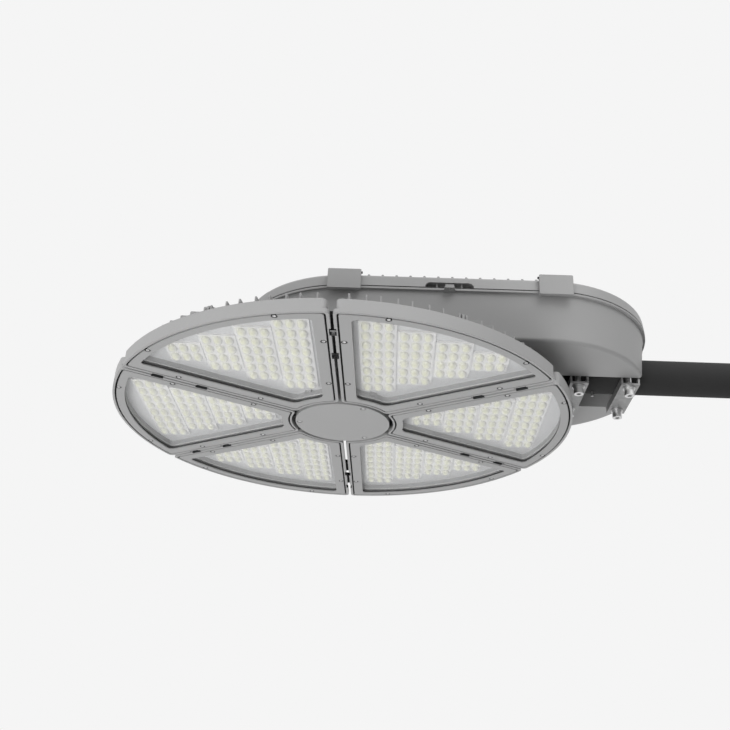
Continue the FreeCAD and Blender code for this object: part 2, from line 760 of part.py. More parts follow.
# Hub: one casting with a cup behind the centre cover, a carrier plate on the module bosses and a spacer
cup_foot = "cover_thickness"
cup_height = f"({boss_top} - cover_thickness)"
hub_solids = [
    cylinder("cup", ("0", "0", cup_foot), cover_radius, f"{cup_height} + casting_bite"),
    cylinder("carrier", ("0", "0", boss_top), f"{boss_circle} + carrier_border", "carrier_thickness"),
    cylinder("spacer", ("0", "0", boss_top), "spacer_radius", "carrier_thickness + spacer_height"),
]
cover_screw_points = []
for step in range(COVER_SCREWS):
    angle = 2 * HALF_WEDGE + step * 360 / COVER_SCREWS
    cover_screw_points.append((f"{cover_screw_circle} * cos({angle})",
                               f"{cover_screw_circle} * sin({angle})"))
cover_holes = [screw_hole("cover_hole", point) for point in cover_screw_points]
hub_cuts = [
    cylinder("cup_hollow", ("0", "0", cup_foot), f"{cover_radius} - hub_wall", cup_height),
    cylinder("hub_bore", ("0", "0", boss_top), "hub_bore", "carrier_thickness + spacer_height"),
]
carrier_bolt_points = []
for step in range(MODULES):
    for side in (-1, 1):
        angle = f"({step * 2 * HALF_WEDGE} + {side} * boss_angle)"
        carrier_bolt_points.append((f"{boss_circle} * cos({angle})", f"{boss_circle} * sin({angle})"))
for x, y in carrier_bolt_points:
    hub_cuts.append(cylinder("carrier_hole", (x, y, boss_top), "carrier_bolt_radius + bolt_clearance",
                             "carrier_thickness"))
node("hub", cut("hub", fuse("hub_solid", hub_solids), hub_cuts + cover_holes))
carrier_bolts = []
for x, y in carrier_bolt_points:
    head = cylinder("carrier_bolt_head", (x, y, carrier_top), "carrier_bolt_head", "carrier_bolt_head_height")
    shank = cylinder("carrier_bolt_shank", (x, y, f"{boss_top} - carrier_bolt_reach + casting_bite"),
                     "carrier_bolt_radius", "carrier_thickness + carrier_bolt_reach")
    carrier_bolts.append(fuse("carrier_bolt", [head, shank]))
node("carrier_bolts", group("carrier_bolts", carrier_bolts))

# Centre cover: round plate in the middle of the disc, held by three screws
cover_plate = cylinder("cover_plate", ("0", "0", "0"), cover_radius, "cover_thickness")
node("centre_cover", cut("centre_cover", cover_plate, cover_holes))
cover_screws = [screw_at("cover_screw", point) for point in cover_screw_points]
node("centre_cover_screws", group("centre_cover_screws", cover_screws))

# Gear box body: drafted stadium tub with a flange, a channel for the arm, hinge knuckles and a lock lug
flange_reach = "(box_end_radius + flange_width)"
flange_bottom = f"({flange_top} - flange_height)"
draft_angle = f"atan(box_draft / {box_height})"
hinge_y = f"({flange_reach} + hinge_gap + hinge_barrel)"
hinge_z = f"({flange_top} + lid_gasket_height / 2)"
channel_top = f"({box_bottom} + 2 * arm_radius + channel_headroom)"
channel_length = "(channel_depth + flange_width)"
strap_places = (strap_first, strap_last)
bolt_top = f"({arm_axis} + bolt_engagement)"
front_middle = "(box_center + front_shift)"

tub = stadium("tub", "box_end_radius - box_draft", box_bottom, box_height, draft_angle, "box_edge_round")
tub_hollow = stadium("tub_hollow", "box_end_radius - box_draft - box_wall", floor_top, box_height,
                     draft_angle)
flange = stadium("flange", flange_reach, flange_bottom, "flange_height")
flange_hollow = stadium("flange_hollow", "box_end_radius - box_wall", flange_bottom, "flange_height")
flange_ring = cut("flange_ring", flange, [flange_hollow])
tunnel_box = box("tunnel_box",
                 (f"{channel_start} - box_wall", f"-{channel_half_width} - box_wall", box_bottom),
                 (f"{channel_length} + box_wall", f"2 * ({channel_half_width} + box_wall)",
                  "2 * arm_radius + channel_headroom + box_wall"))
tunnel = common("tunnel", tunnel_box, tub)
shell = fuse("shell", [cut("tub_shell", tub, [tub_hollow]), flange_ring, tunnel])
channel = box("channel", (channel_start, f"-{channel_half_width}", box_bottom),
              (channel_length, f"2 * {channel_half_width}", "2 * arm_radius + channel_headroom"))
gland_hole = cylinder("gland_hole", ("0", "0", box_bottom), "hub_bore - box_wall", "box_floor")


def knuckle(name, x, width, foot, rise):
    """A hinge knuckle: a barrel about the hinge line with an arm to the box or the lid."""
    barrel = cylinder(f"{name}_barrel", (f"{x} - {width} / 2", hinge_y, hinge_z), "hinge_barrel", width, "X")
    arm = box(f"{name}_arm", (f"{x} - {width} / 2", "box_end_radius - casting_bite", foot),
              (width, f"{hinge_y} - box_end_radius + casting_bite", rise))
    return [barrel, arm]


hinge_places = [f"(box_center + {side} * hinge_spread)" for side in (-1, 1)]
arm_drop = "(hinge_barrel - lid_gasket_height / 2)"
body_knuckles = []
for x in hinge_places:
    body_knuckles += knuckle("body_knuckle", x, "hinge_knuckle", flange_bottom, "flange_height")
pin_bores = [cylinder("pin_bore", (f"{x} - 2 * hinge_knuckle", hinge_y, hinge_z), "hinge_pin_radius",
                      "4 * hinge_knuckle", "X") for x in hinge_places]
lug_front = f"(-{flange_reach} - lug_reach)"
lug_block = doc.addObject("Part::Wedge", "lug_block")
tie(lug_block, {"Xmin": "-lug_front_width / 2", "Xmax": "lug_front_width / 2",
                "X2min": "-lug_width / 2", "X2max": "lug_width / 2",
                "Zmin": "-lug_front_height", "Zmax": "0", "Z2min": "-lug_height", "Z2max": "0",
                "Ymin": "0", "Ymax": "lug_reach + flange_width + box_wall"})
place(lug_block, (front_middle, lug_front, flange_top))
lug_lip = box("lug_lip",
              (f"{front_middle} - lug_lip_width / 2", lug_front, f"{flange_top} - lug_front_height"),
              ("lug_lip_width", "lug_lip_thickness", "lug_front_height + lug_lip_height"))
lug_hole = cylinder("lug_hole", (front_middle, f"{lug_front} + lug_hole_inset", f"{flange_top} - lug_height"),
                    "lug_hole_radius", "lug_height + lug_lip_height")
open_shell = cut("open_shell", shell, [channel, gland_hole])
fitted = fuse("fitted_shell", [open_shell, *body_knuckles, lug_block, lug_lip])
node("gear_box_body", cut("gear_box_body", fitted, [lug_hole, *pin_bores]))

# Arm saddles: cast half rings under the channel's roof, which the clamp bolts draw the arm up to
arm_space = cylinder("arm_space", (channel_start, "0", arm_axis), "arm_radius", channel_length, "X")
bolt_points = [(middle, f"{side} * {bolt_side}") for middle in strap_places for side in (-1, 1)]
saddle_holes = [cylinder("saddle_hole", (x, y, arm_axis), "bolt_radius + bolt_clearance",
                         "bolt_engagement + bolt_clearance") for x, y in bolt_points]
saddle_blocks = []
for middle in strap_places:
    saddle_blocks.append(box("saddle", (f"{middle} - saddle_length / 2", f"-{channel_half_width}", arm_axis),
                             ("saddle_length", f"2 * {channel_half_width}", f"{channel_top} - {arm_axis}")))
node("arm_saddles", cut("arm_saddles", group("saddle_pair", saddle_blocks), [arm_space, *saddle_holes]))

# Lid gasket: flat ring on the flange
gasket_rim = stadium("gasket_rim", f"{flange_reach} - lid_gasket_inset", flange_top, "lid_gasket_height")
gasket_mouth = stadium("gasket_mouth", f"{flange_reach} - lid_gasket_inset - lid_gasket_width", flange_top,
                       "lid_gasket_height")
node("lid_gasket", cut("lid_gasket", gasket_rim, [gasket_mouth]))

# Gear box lid: shallow cast cover with cross ribs, a finger recess, clip ears and hinge knuckles
lid_taper = "-atan(lid_draft / lid_height)"
lid_solid = stadium("lid_solid", flange_reach, lid_bottom, "lid_height", lid_taper, "lid_edge_round", True)
lid_hollow = stadium("lid_hollow", f"{flange_reach} - lid_wall - flange_width", lid_bottom,
                     "lid_height - lid_wall", lid_taper)
rib_count = 2 * int(number("(clip_spread - clip_width / 2) / rib_pitch")) + 1
rib_foot = f"({lid_top} - casting_bite)"
ribs = []
for place_in_row in range(rib_count):
    middle = f"(box_center + rib_shift + {place_in_row - (rib_count - 1) / 2} * rib_pitch)"
    rib = doc.addObject("Part::Wedge", "rib")
    rib.Placement.Rotation = FreeCAD.Rotation(FreeCAD.Vector(1, 0, 0), 90)
    tie(rib, {"Xmin": "-rib_width / 2", "Xmax": "rib_width / 2",
              "X2min": "-rib_crest / 2", "X2max": "rib_crest / 2",
              "Zmin": f"-{flange_reach}", "Zmax": flange_reach,
              "Z2min": f"-{flange_reach}", "Z2max": flange_reach,
              "Ymin": "0", "Ymax": "rib_height + casting_bite"})
    ribs.append(place(rib, (middle, "0", rib_foot)))
rib_zone = stadium("rib_zone", f"{flange_reach} - lid_draft - rib_edge_inset", rib_foot,
                   "rib_height + casting_bite")
lid_ribs = common("lid_ribs", group("rib_row", ribs), rib_zone)

clip_places = [f"({front_middle} + {side} * clip_spread)" for side in (-1, 1)]
clip_pin_y = f"(-{flange_reach} - clip_pin_reach)"
clip_pin_z = f"({lid_top} + clip_pin_rise)"
ears = []
ear_bores = []
for x in clip_places:
    ear_start = f"({x} - clip_ear_width / 2)"
    ears.append(cylinder("ear_barrel", (ear_start, clip_pin_y, clip_pin_z), "clip_ear_radius",
                         "clip_ear_width", "X"))
    ears.append(box("ear_neck", (ear_start, f"{clip_pin_y} - 0.7 * clip_ear_radius",
                                 f"{clip_pin_z} - clip_ear_drop"),
                    ("clip_ear_width", "1.3 * clip_ear_radius", "clip_ear_drop")))
    ears.append(box("ear_arm", (ear_start, clip_pin_y, f"{clip_pin_z} - clip_ear_drop"),
                    ("clip_ear_width", "clip_pin_reach + clip_ear_root", "clip_ear_drop - clip_ear_radius")))
    ear_bores.append(cylinder("ear_bore", (ear_start, clip_pin_y, clip_pin_z), "clip_pin_radius",
                              "clip_ear_width", "X"))

lid_side_gap = "(hinge_knuckle / 2 + hinge_side_gap)"
lid_knuckles = []
for x in hinge_places:
    for side in (-1, 1):
        middle = f"({x} + {side} * ({lid_side_gap} + hinge_knuckle / 4))"
        lid_knuckles += knuckle("lid_knuckle", middle, "hinge_knuckle / 2", lid_bottom, arm_drop)
lid_bores = [cylinder("lid_bore", (f"{x} - 2 * hinge_knuckle", hinge_y, hinge_z),
                      "hinge_pin_radius + hinge_fit", "4 * hinge_knuckle", "X") for x in hinge_places]

recess_block_box = box("recess_block_box",
                       (f"{front_middle} - recess_width / 2 - lid_wall", f"-{flange_reach}", lid_bottom),
                       ("recess_width + 2 * lid_wall", "recess_depth + lid_wall + flange_width", "lid_height"))
recess_block = common("recess_block", recess_block_box, lid_solid)
recess_front = f"(-{flange_reach} - casting_bite)"
recess_length = "(recess_depth + casting_bite)"
recess_cuts = [
    box("recess_mouth", (f"{front_middle} - recess_width / 2", recess_front, lid_bottom),
        ("recess_width", recess_length, "recess_height - recess_round")),
    box("recess_roof", (f"{front_middle} - recess_width / 2 + recess_round", recess_front, lid_bottom),
        ("recess_width - 2 * recess_round", recess_length, "recess_height")),
]
for side in (-1, 1):
    x = f"{front_middle} + {side} * (recess_width / 2 - recess_round)"
    corner_z = f"{lid_bottom} + recess_height - recess_round"
    recess_cuts.append(cylinder("recess_corner", (x, recess_front, corner_z), "recess_round",
                                recess_length, "Y"))
recess_ribs = []
for side in (-1, 1):
    x = f"{front_middle} + {side} * recess_rib_spread - recess_rib_width / 2"
    recess_ribs.append(box("recess_rib", (x, f"-{flange_reach} + recess_rib_setback", lid_bottom),
                           ("recess_rib_width", "recess_depth", "recess_height + casting_bite")))
lid_shell = fuse("lid_shell", [cut("lid_cover", lid_solid, [lid_hollow]), recess_block, lid_ribs])
lid_recessed = cut("lid_recessed", lid_shell, recess_cuts)
ears_outside = cut("ears_outside", fuse("ear_set", ears), [lid_hollow])
lid_fitted = fuse("lid_fitted", [lid_recessed, ears_outside, *recess_ribs, *lid_knuckles])
node("gear_box_lid", cut("gear_box_lid", lid_fitted, ear_bores + lid_bores))

# Hinge pins: plain pins fixed in the body's knuckles
node("hinge_pins", group("hinge_pins", [
    cylinder("hinge_pin", (f"{x} - hinge_knuckle - hinge_side_gap", hinge_y, hinge_z), "hinge_pin_radius",
             "2 * (hinge_knuckle + hinge_side_gap)", "X") for x in hinge_places]))

# Clips: bent plates that swing on a pin over the lid's edge and reach down past the flange
clip_inside = f"(-{flange_reach} - clip_face + clip_plate)"
clip_outside = f"(-{flange_reach} - clip_face)"
clip_foot = f"({flange_top} - clip_drop)"
roof_bottom = f"({clip_pin_z} + clip_ear_radius + clip_roof_gap)"
clip_top = f"({roof_bottom} + clip_plate)"
clip_depth = f"({clip_pin_y} + clip_cheek_back - {clip_outside})"
clip_pins = []
for side_name, x in zip(("left", "right"), clip_places):
    start = f"({x} - clip_width / 2)"
    end = f"({x} + clip_width / 2)"
    plate = box("clip_plate", (start, clip_outside, clip_foot),
                ("clip_width", "clip_plate", f"{clip_top} - {clip_foot}"))
    roof = box("clip_roof", (start, clip_outside, roof_bottom),
               ("clip_width", f"{clip_pin_y} + clip_roof_back - {clip_outside}", "clip_plate"))
    hook = box("clip_hook", (start, clip_outside, clip_foot),
               ("clip_width", "clip_face - clip_hook_gap", "clip_plate"))
    parts = [plate, roof, hook]
    for cheek_start in (start, f"({end} - clip_cheek)"):
        parts.append(box("clip_cheek", (cheek_start, clip_outside, f"{clip_pin_z} - clip_cheek_back"),
                         ("clip_cheek", clip_depth, f"{clip_top} - {clip_pin_z} + clip_cheek_back")))
    outline = [
        box("clip_middle", (f"{start} + clip_corner", clip_outside, clip_foot),
            ("clip_width - 2 * clip_corner", clip_depth, f"{clip_top} - {clip_foot}")),
        box("clip_sides", (start, clip_outside, clip_foot),
            ("clip_width", clip_depth, f"{clip_top} - clip_corner - {clip_foot}")),
    ]
    for corner_x in (f"{start} + clip_corner", f"{end} - clip_corner"):
        outline.append(cylinder("clip_corner", (corner_x, clip_outside, f"{clip_top} - clip_corner"),
                                "clip_corner", clip_depth, "Y"))
    bent = common("clip_bent", fuse("clip_solid", parts), fuse("clip_outline", outline))
    bore = cylinder("clip_bore", (start, clip_pin_y, clip_pin_z), "clip_pin_radius + clip_fit",
                    "clip_width", "X")
    node(f"clip_{side_name}", cut(f"clip_{side_name}", bent, [bore]))
    if side_name == "left":
        rod_start = start
        head_start = f"({end} + 0.1 * clip_pin_stub)"
    else:
        rod_start = f"({start} - clip_pin_stub)"
        head_start = rod_start
    rod = cylinder("clip_rod", (rod_start, clip_pin_y, clip_pin_z), "clip_pin_radius",
                   "clip_width + clip_pin_stub", "X")
    rod_head = cylinder("clip_rod_head", (head_start, clip_pin_y, clip_pin_z), "clip_pin_head",
                        "0.9 * clip_pin_stub", "X")
    clip_pins.append(fuse("clip_pin", [rod, rod_head]))
node("clip_pins", group("clip_pins", clip_pins))

# Mast arm: round steel tube lying in the channel, with a short locating pin under it
arm_tube = cylinder("arm_tube", (arm_start, "0", arm_axis), "arm_radius", arm_length, "X")
arm_bore = cylinder("arm_bore", (arm_start, "0", arm_axis), "arm_radius - arm_wall", arm_length, "X")
pin_hole = cylinder("arm_pin_hole", (arm_pin_x, "0", box_bottom), "arm_pin_radius", "2 * arm_wall")
node("mast_arm", cut("mast_arm", arm_tube, [arm_bore, pin_hole]))
node("arm_pin", cylinder("arm_pin", (arm_pin_x, "0", f"{box_bottom} - arm_pin_reach"), "arm_pin_radius",
                         "arm_pin_reach + arm_wall"))

# Clamp straps: short channels under the arm, each drawn up by two bolts
strap_bottom = f"({box_bottom} - strap_height)"
for strap_name, middle in zip(("clamp_strap_inner", "clamp_strap_outer"), strap_places):
    bar = box("strap_bar", (f"{middle} - strap_width / 2", f"-{strap_length} / 2", strap_bottom),
              ("strap_width", strap_length, "strap_height"))
    trough = box("strap_trough", (f"{middle} - strap_width / 2 + strap_wall", f"-{strap_length} / 2",
                                  f"{strap_bottom} + strap_wall"),
                 ("strap_width - 2 * strap_wall", strap_length, "strap_height - strap_wall"))
    holes = [cylinder("strap_hole", (middle, f"{side} * {bolt_side}", strap_bottom),
                      "bolt_radius + bolt_clearance", "strap_wall") for side in (-1, 1)]
    node(strap_name, cut(strap_name, bar, [trough, *holes]))

# Clamp bolts: socket heads below the straps, each on a spring washer and a flat washer
washer_face = f"({box_bottom} - strap_height - washer_thickness)"
head_top = f"({washer_face} - spring_washer_thickness)"
clamp_bolts = []
washers = []
for x, y in bolt_points:
    head_foot = f"({head_top} - bolt_head_height)"
    head = cylinder("bolt_head", (x, y, head_foot), "bolt_head_radius", "bolt_head_height")
    shank = cylinder("bolt_shank", (x, y, f"{head_top} - casting_bite"), "bolt_radius",
                     f"{bolt_top} - {head_top} + casting_bite")
    socket = hexagon("bolt_socket", (x, y, head_foot), "bolt_socket_radius", "bolt_socket_depth")
    clamp_bolts.append(cut("clamp_bolt", fuse("bolt_solid", [head, shank]), [socket]))
    for foot, radius, thickness in ((washer_face, "washer_radius", "washer_thickness"),
                                    (head_top, "spring_washer_radius", "spring_washer_thickness")):
        disc = cylinder("washer_disc", (x, y, foot), radius, thickness)
        hole = cylinder("washer_hole", (x, y, foot), "bolt_radius + bolt_clearance", thickness)
        washers.append(cut("washer", disc, [hole]))
node("clamp_bolts", group("clamp_bolts", clamp_bolts))
node("clamp_washers", group("clamp_washers", washers))

# Control gear on a sheet tray, on posts above the box's floor
tray_level = f"({floor_top} + gear_tray_post)"
gear_face = f"({tray_level} + gear_tray_thickness)"
tray_start = f"({channel_start} - box_wall - gear_gap - gear_tray_length)"
tray_sheet = box("tray_sheet", (tray_start, "-gear_tray_width / 2", tray_level),
                 ("gear_tray_length", "gear_tray_width", "gear_tray_thickness"))
posts = []
for x in (f"({tray_start} + gear_gap)", f"({tray_start} + gear_tray_length - gear_gap)"):
    for side in (-1, 1):
        y = f"{side} * (gear_tray_width / 2 - gear_gap)"
        posts.append(cylinder("tray_post", (x, y, floor_top), "gear_tray_post", "gear_tray_post"))
tray_opening = cylinder("tray_opening", ("0", "0", tray_level), "gland_radius + gear_gap",
                        "gear_tray_thickness")
node("gear_tray", fuse("gear_tray", [cut("tray_plate", tray_sheet, [tray_opening]), *posts]))

driver_start = f"({tray_start} + gear_tray_length - driver_length - driver_end_gap)"
driver_ribs = int(number("driver_width / driver_rib_width / 2"))
for side_name, y in (("near", "(-driver_gap / 2 - driver_width)"), ("far", "(driver_gap / 2)")):
    case = box("driver_case", (f"{driver_start} + driver_foot", y, gear_face),
               ("driver_length - 2 * driver_foot", "driver_width", "driver_height"))
    foot_plate = box("driver_foot_plate", (driver_start, y, gear_face),
                     ("driver_length", "driver_width", "driver_foot_thickness"))
    cuts = []
    for slot_x in (f"({driver_start} + driver_foot / 2)",
                   f"({driver_start} + driver_length - driver_foot / 2)"):
        for share in (0.25, 0.75):
            cuts.append(cylinder("driver_slot", (slot_x, f"{y} + {share} * driver_width", gear_face),
                                 "driver_slot_radius", "driver_foot_thickness"))
    for rib_number in range(driver_ribs):
        groove_y = f"{y} + driver_rib_width * ({2 * rib_number} + 0.5)"
        cuts.append(box("driver_groove",
                        (driver_start, groove_y, f"{gear_face} + driver_height - driver_rib_depth"),
                        ("driver_length", "driver_rib_width", "driver_rib_depth")))
    driver_solid = fuse("driver_solid", [case, foot_plate])
    node(f"led_driver_{side_name}", cut(f"led_driver_{side_name}", driver_solid, cuts))

surge_start = f"({driver_start} - driver_wire_gap - terminal_length)"
surge_case = box("surge_case", (surge_start, "driver_gap", gear_face),
                 ("surge_length", "surge_width", "surge_height"))
surge_steps = [box("surge_step", (x, "driver_gap", f"{gear_face} + surge_height - surge_step_height"),
                   ("surge_step", "surge_width", "surge_step_height"))
               for x in (surge_start, f"({surge_start} + surge_length - surge_step)")]
surge_holes = []
for x in (f"({surge_start} + surge_step / 2)", f"({surge_start} + surge_length - surge_step / 2)"):
    for share in (0.25, 0.5, 0.75):
        level = f"{gear_face} + surge_height - surge_step_height - terminal_hole_depth"
        surge_holes.append(cylinder("surge_hole", (x, f"driver_gap + {share} * surge_width", level),
                                    "terminal_hole_radius", "terminal_hole_depth"))
node("surge_protector", cut("surge_protector", surge_case, surge_steps + surge_holes))

terminal_y = "(-driver_gap - terminal_width)"
terminal_case = box("terminal_case", (surge_start, terminal_y, gear_face),
                    ("terminal_length", "terminal_width", "terminal_height"))
ways = int(number("terminal_length / (4 * terminal_hole_radius)"))
terminal_cuts = [box("terminal_ledge", (surge_start, f"{terminal_y} + {edge}",
                                        f"{gear_face} + terminal_height - terminal_step / 2"),
                     ("terminal_length", "terminal_step / 2", "terminal_step / 2"))
                 for edge in ("0", "terminal_width - terminal_step / 2")]
for way in range(ways):
    x = f"{surge_start} + {way + 0.5} * terminal_length / {ways}"
    for share in (0.35, 0.65):
        screw_foot = f"{gear_face} + terminal_height - terminal_hole_depth"
        terminal_cuts.append(cylinder("terminal_screw",
                                      (x, f"{terminal_y} + {share} * terminal_width", screw_foot),
                                      "terminal_hole_radius / 1.3", "terminal_hole_depth"))
    terminal_cuts.append(cylinder("terminal_mouth", (x, terminal_y, f"{gear_face} + terminal_height / 2"),
                                  "terminal_hole_radius", "terminal_width", "Y"))
node("terminal_block", cut("terminal_block", terminal_case, terminal_cuts))

# Cable gland: passes the module leads from the hub through the box's floor
gland_collar = cylinder("gland_collar", ("0", "0", floor_top), "hub_bore", "gland_collar_height")
gland_stem = cylinder("gland_stem", ("0", "0", box_bottom), "hub_bore - box_wall",
                      "box_floor + gland_collar_height")
gland_cap = cylinder("gland_cap", ("0", "0", floor_top), "gland_radius", "gland_height")
gland_core = cylinder("gland_core", ("0", "0", box_bottom), "gland_radius / 2", "box_floor + gland_height")
gland_solid = fuse("gland_solid", [gland_collar, gland_stem, gland_cap])
node("cable_gland", cut("cable_gland", gland_solid, [gland_core]))

doc.recompute()
for item in doc.Objects:
    if "Invalid" in item.State or "Error" in item.State:
        raise RuntimeError(f"{item.Name} failed: {item.State}")
os.makedirs("parts", exist_ok=True)
for item in nodes:
    if item.Shape.isNull() or not item.Shape.isValid():
        raise RuntimeError(f"{item.Label} has no valid shape")
for item in nodes:
    item.Shape.exportStep(os.path.join("parts", f"{item.Label}.step"))
    print(f"{item.Label}: {len(item.Shape.Solids)} solids, {item.Shape.Volume / 1000:.1f} cm3")
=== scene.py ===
"""An LED high mast light on its mast arm, seen from below, dressed for rendering."""

import math

import bmesh
import bpy
from mathutils import Matrix, Vector


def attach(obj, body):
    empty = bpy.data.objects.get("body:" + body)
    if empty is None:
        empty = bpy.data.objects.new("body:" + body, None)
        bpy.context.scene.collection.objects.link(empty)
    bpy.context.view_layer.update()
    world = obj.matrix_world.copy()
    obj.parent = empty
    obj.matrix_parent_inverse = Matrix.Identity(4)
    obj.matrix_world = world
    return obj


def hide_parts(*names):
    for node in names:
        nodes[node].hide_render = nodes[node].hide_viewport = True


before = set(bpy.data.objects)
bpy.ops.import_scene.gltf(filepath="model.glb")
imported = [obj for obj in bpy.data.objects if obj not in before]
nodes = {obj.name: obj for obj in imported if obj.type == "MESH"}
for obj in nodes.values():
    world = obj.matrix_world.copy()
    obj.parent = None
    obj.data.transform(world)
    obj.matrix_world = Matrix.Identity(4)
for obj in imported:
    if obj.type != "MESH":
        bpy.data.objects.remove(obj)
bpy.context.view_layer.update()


# Module housings: six aluminium castings, each a wedge of the disc with a tray for its boards and
# cooling fins on its back. They are shot blasted and powder coated light grey, with a fine orange
# peel, and they hang from the hub by bolts through their inner ends.
class Wire:
    """A node's output in one material, on which sums are written as plain expressions."""

    def __init__(self, tree, output=None):
        self.tree = tree
        self.output = output

    def node(self, kind, settings=None, inputs=None, output=0):
        """Adds a node, with its settings first and then what goes into its sockets."""
        made = self.tree.nodes.new(kind)
        for key, value in (settings or {}).items():
            setattr(made, key, value)
        for key, value in (inputs or {}).items():
            if isinstance(value, Wire):
                self.tree.links.new(value.output, made.inputs[key])
            else:
                made.inputs[key].default_value = value
        return Wire(self.tree, made.outputs[output] if made.outputs else None)

    def maths(self, operation, first, second):
        return self.node("ShaderNodeMath", {"operation": operation}, {0: first, 1: second})

    def __add__(self, other):
        return self.maths("ADD", self, other)

    def __radd__(self, other):
        return self.maths("ADD", other, self)

    def __sub__(self, other):
        return self.maths("SUBTRACT", self, other)

    def __rsub__(self, other):
        return self.maths("SUBTRACT", other, self)

    def __mul__(self, other):
        return self.maths("MULTIPLY", self, other)

    def __rmul__(self, other):
        return self.maths("MULTIPLY", other, self)

    def __pow__(self, other):
        return self.maths("POWER", self, other)

    def __gt__(self, other):
        return self.maths("GREATER_THAN", self, other)

    def __lt__(self, other):
        return self.maths("LESS_THAN", self, other)

    def between(self, dark, light):
        """A colour from dark to light, by this wire's value."""
        return self.node("ShaderNodeMix", {"data_type": "RGBA"}, {0: self, 6: dark, 7: light}, 2)

    def noise(self, scale, detail=2.0, roughness=0.5, stretch=(1, 1, 1)):
        """Noise over the piece, with its scale in cells for each metre."""
        place = self.node("ShaderNodeTexCoord", output="Object")
        stretched = self.node("ShaderNodeMapping", None, {"Vector": place, "Scale": stretch})
        texture = {"Vector": stretched, "Scale": scale, "Detail": detail, "Roughness": roughness}
        return self.node("ShaderNodeTexNoise", None, texture)

    def soft_edges(self, radius):
        """The surface's normal with its sharp edges rounded over."""
        return self.node("ShaderNodeBevel", {"samples": 4}, {"Radius": radius})

    def bump(self, height, distance, normal):
        return self.node("ShaderNodeBump", None, {"Height": height, "Distance": distance, "Normal": normal})


def srgb(red, green, blue):
    """A colour as a screen shows it, from 0 to 255, for a shader's socket."""
    levels = [level / 255 for level in (red, green, blue)]
    linear = [x / 12.92 if x <= 0.04045 else ((x + 0.055) / 1.055) ** 2.4 for x in levels]
    return (*linear, 1.0)


def grey(level, warmth=0):
    return srgb(level + warmth, level, level - warmth)


def new_finish(name):
    """An empty material, and a wire to add its nodes with."""
    material = bpy.data.materials.new(name)
    material.use_nodes = True
    material.node_tree.nodes.clear()
    return material, Wire(material.node_tree)


def surface(wire, shader):
    wire.node("ShaderNodeOutputMaterial", None, {"Surface": shader})


def dress(material, *names):
    """Gives CAD nodes their finish."""
    for name in names:
        for holder in nodes[name].material_slots:
            holder.material = material


def powder_coat(name, level, peel=0.00006, edge=0.0008, gloss=0.46, shine=0.5, patches=()):
    """Baked powder paint: a fine orange peel, a faint mottle, and thinner, paler paint on the edges."""
    material, wire = new_finish(name)
    cloud = wire.noise(7, 3)
    mottle = wire.noise(850, 2, 0.6)
    ripple = wire.noise(380, 3, 0.55)
    rounded = wire.soft_edges(edge)
    flat = wire.node("ShaderNodeNewGeometry", output="Normal")
    same = wire.node("ShaderNodeVectorMath", {"operation": "DOT_PRODUCT"}, {0: rounded, 1: flat}, "Value")
    worn = (1 - same) * 1.6 * mottle
    tone = cloud * 0.55 + mottle * 0.25 + worn
    colour = tone.between(grey(level - 7), grey(level + 9))
    for where, other in patches:
        colour = where(wire).between(colour, tone.between(grey(other - 5, -1), grey(other + 5, -1)))
    shader = wire.node("ShaderNodeBsdfPrincipled", None, {
        "Base Color": colour,
        "Roughness": gloss + cloud * 0.12 - mottle * 0.06,
        "Specular IOR Level": shine,
        "Normal": wire.bump(ripple, peel, rounded),
    })
    surface(wire, shader)
    return material


MODULES = range(1, 7)
HALF_WEDGE = math.radians(30)
HOUSING_GREY = 166
TRAY_GREY = 220
TRAY_RADII = (0.099, 0.3645)
TRAY_LEVELS = (0.0094, 0.0185)
TRAY_FLOOR = 0.0176
WALL_PAINTED_LIGHT = 0.05
TRAY_OFFSET = 0.018
NOTCH_SHADE_GREY = 62
NOTCH_RADII = (0.322, 0.25)
NOTCH_HALF = 0.0096
NOTCH_OFFSET = 0.0053


def disc_place(wire):
    """Distance from the disc's middle, from the nearest gap between modules, and from the front."""
    place = wire.node("ShaderNodeTexCoord", output="Object")
    part = wire.node("ShaderNodeSeparateXYZ", None, {"Vector": place}, "X")
    x, y, z = (Wire(wire.tree, part.output.node.outputs[axis]) for axis in "XYZ")
    radius = (x * x + y * y) ** 0.5
    from_middle = wire.maths("PINGPONG", wire.maths("ARCTAN2", y, x), HALF_WEDGE)
    from_gap = radius * wire.maths("SINE", HALF_WEDGE - from_middle, 0)
    return radius, from_gap, z


def in_tray(wire):
    """One on the floors of the trays, where the coat is paler, a little on their walls as painted light
    that lifts their shade, nought elsewhere.
    """
    radius, from_gap, z = disc_place(wire)
    inner, outer = TRAY_RADII
    low, high = TRAY_LEVELS
    # The walls get a small share of the pale coat as painted light, lifting their shade.
    strength = WALL_PAINTED_LIGHT + (z > TRAY_FLOOR) * (1 - WALL_PAINTED_LIGHT)
    inside = (radius > inner) * (radius < outer) * (z > low) * (z < high) * (from_gap > TRAY_OFFSET)
    return inside * strength


def in_notch_shade(wire):
    """One in the notches over the link blocks, where their shade is painted dark, nought elsewhere."""
    radius, from_gap, _ = disc_place(wire)
    near = [(radius > middle - NOTCH_HALF) * (radius < middle + NOTCH_HALF) for middle in NOTCH_RADII]
    return (near[0] + near[1]) * (from_gap < NOTCH_OFFSET)


# The notches over the link blocks get painted shade: the housing paint turns dark there.
housing_paint = powder_coat("housing_paint", HOUSING_GREY,
                            patches=((in_tray, TRAY_GREY), (in_notch_shade, NOTCH_SHADE_GREY)))
dress(housing_paint, *[f"module_{n}_housing" for n in MODULES])


# LED boards: four aluminium-backed boards in each tray, with white solder mask over their copper.
# They are glued down with heat paste, and the lens plates cover them.
MASK_WHITE = grey(236, 1)
TRACK_WHITE = grey(222, 2)
TRACK_PITCH = 0.0045

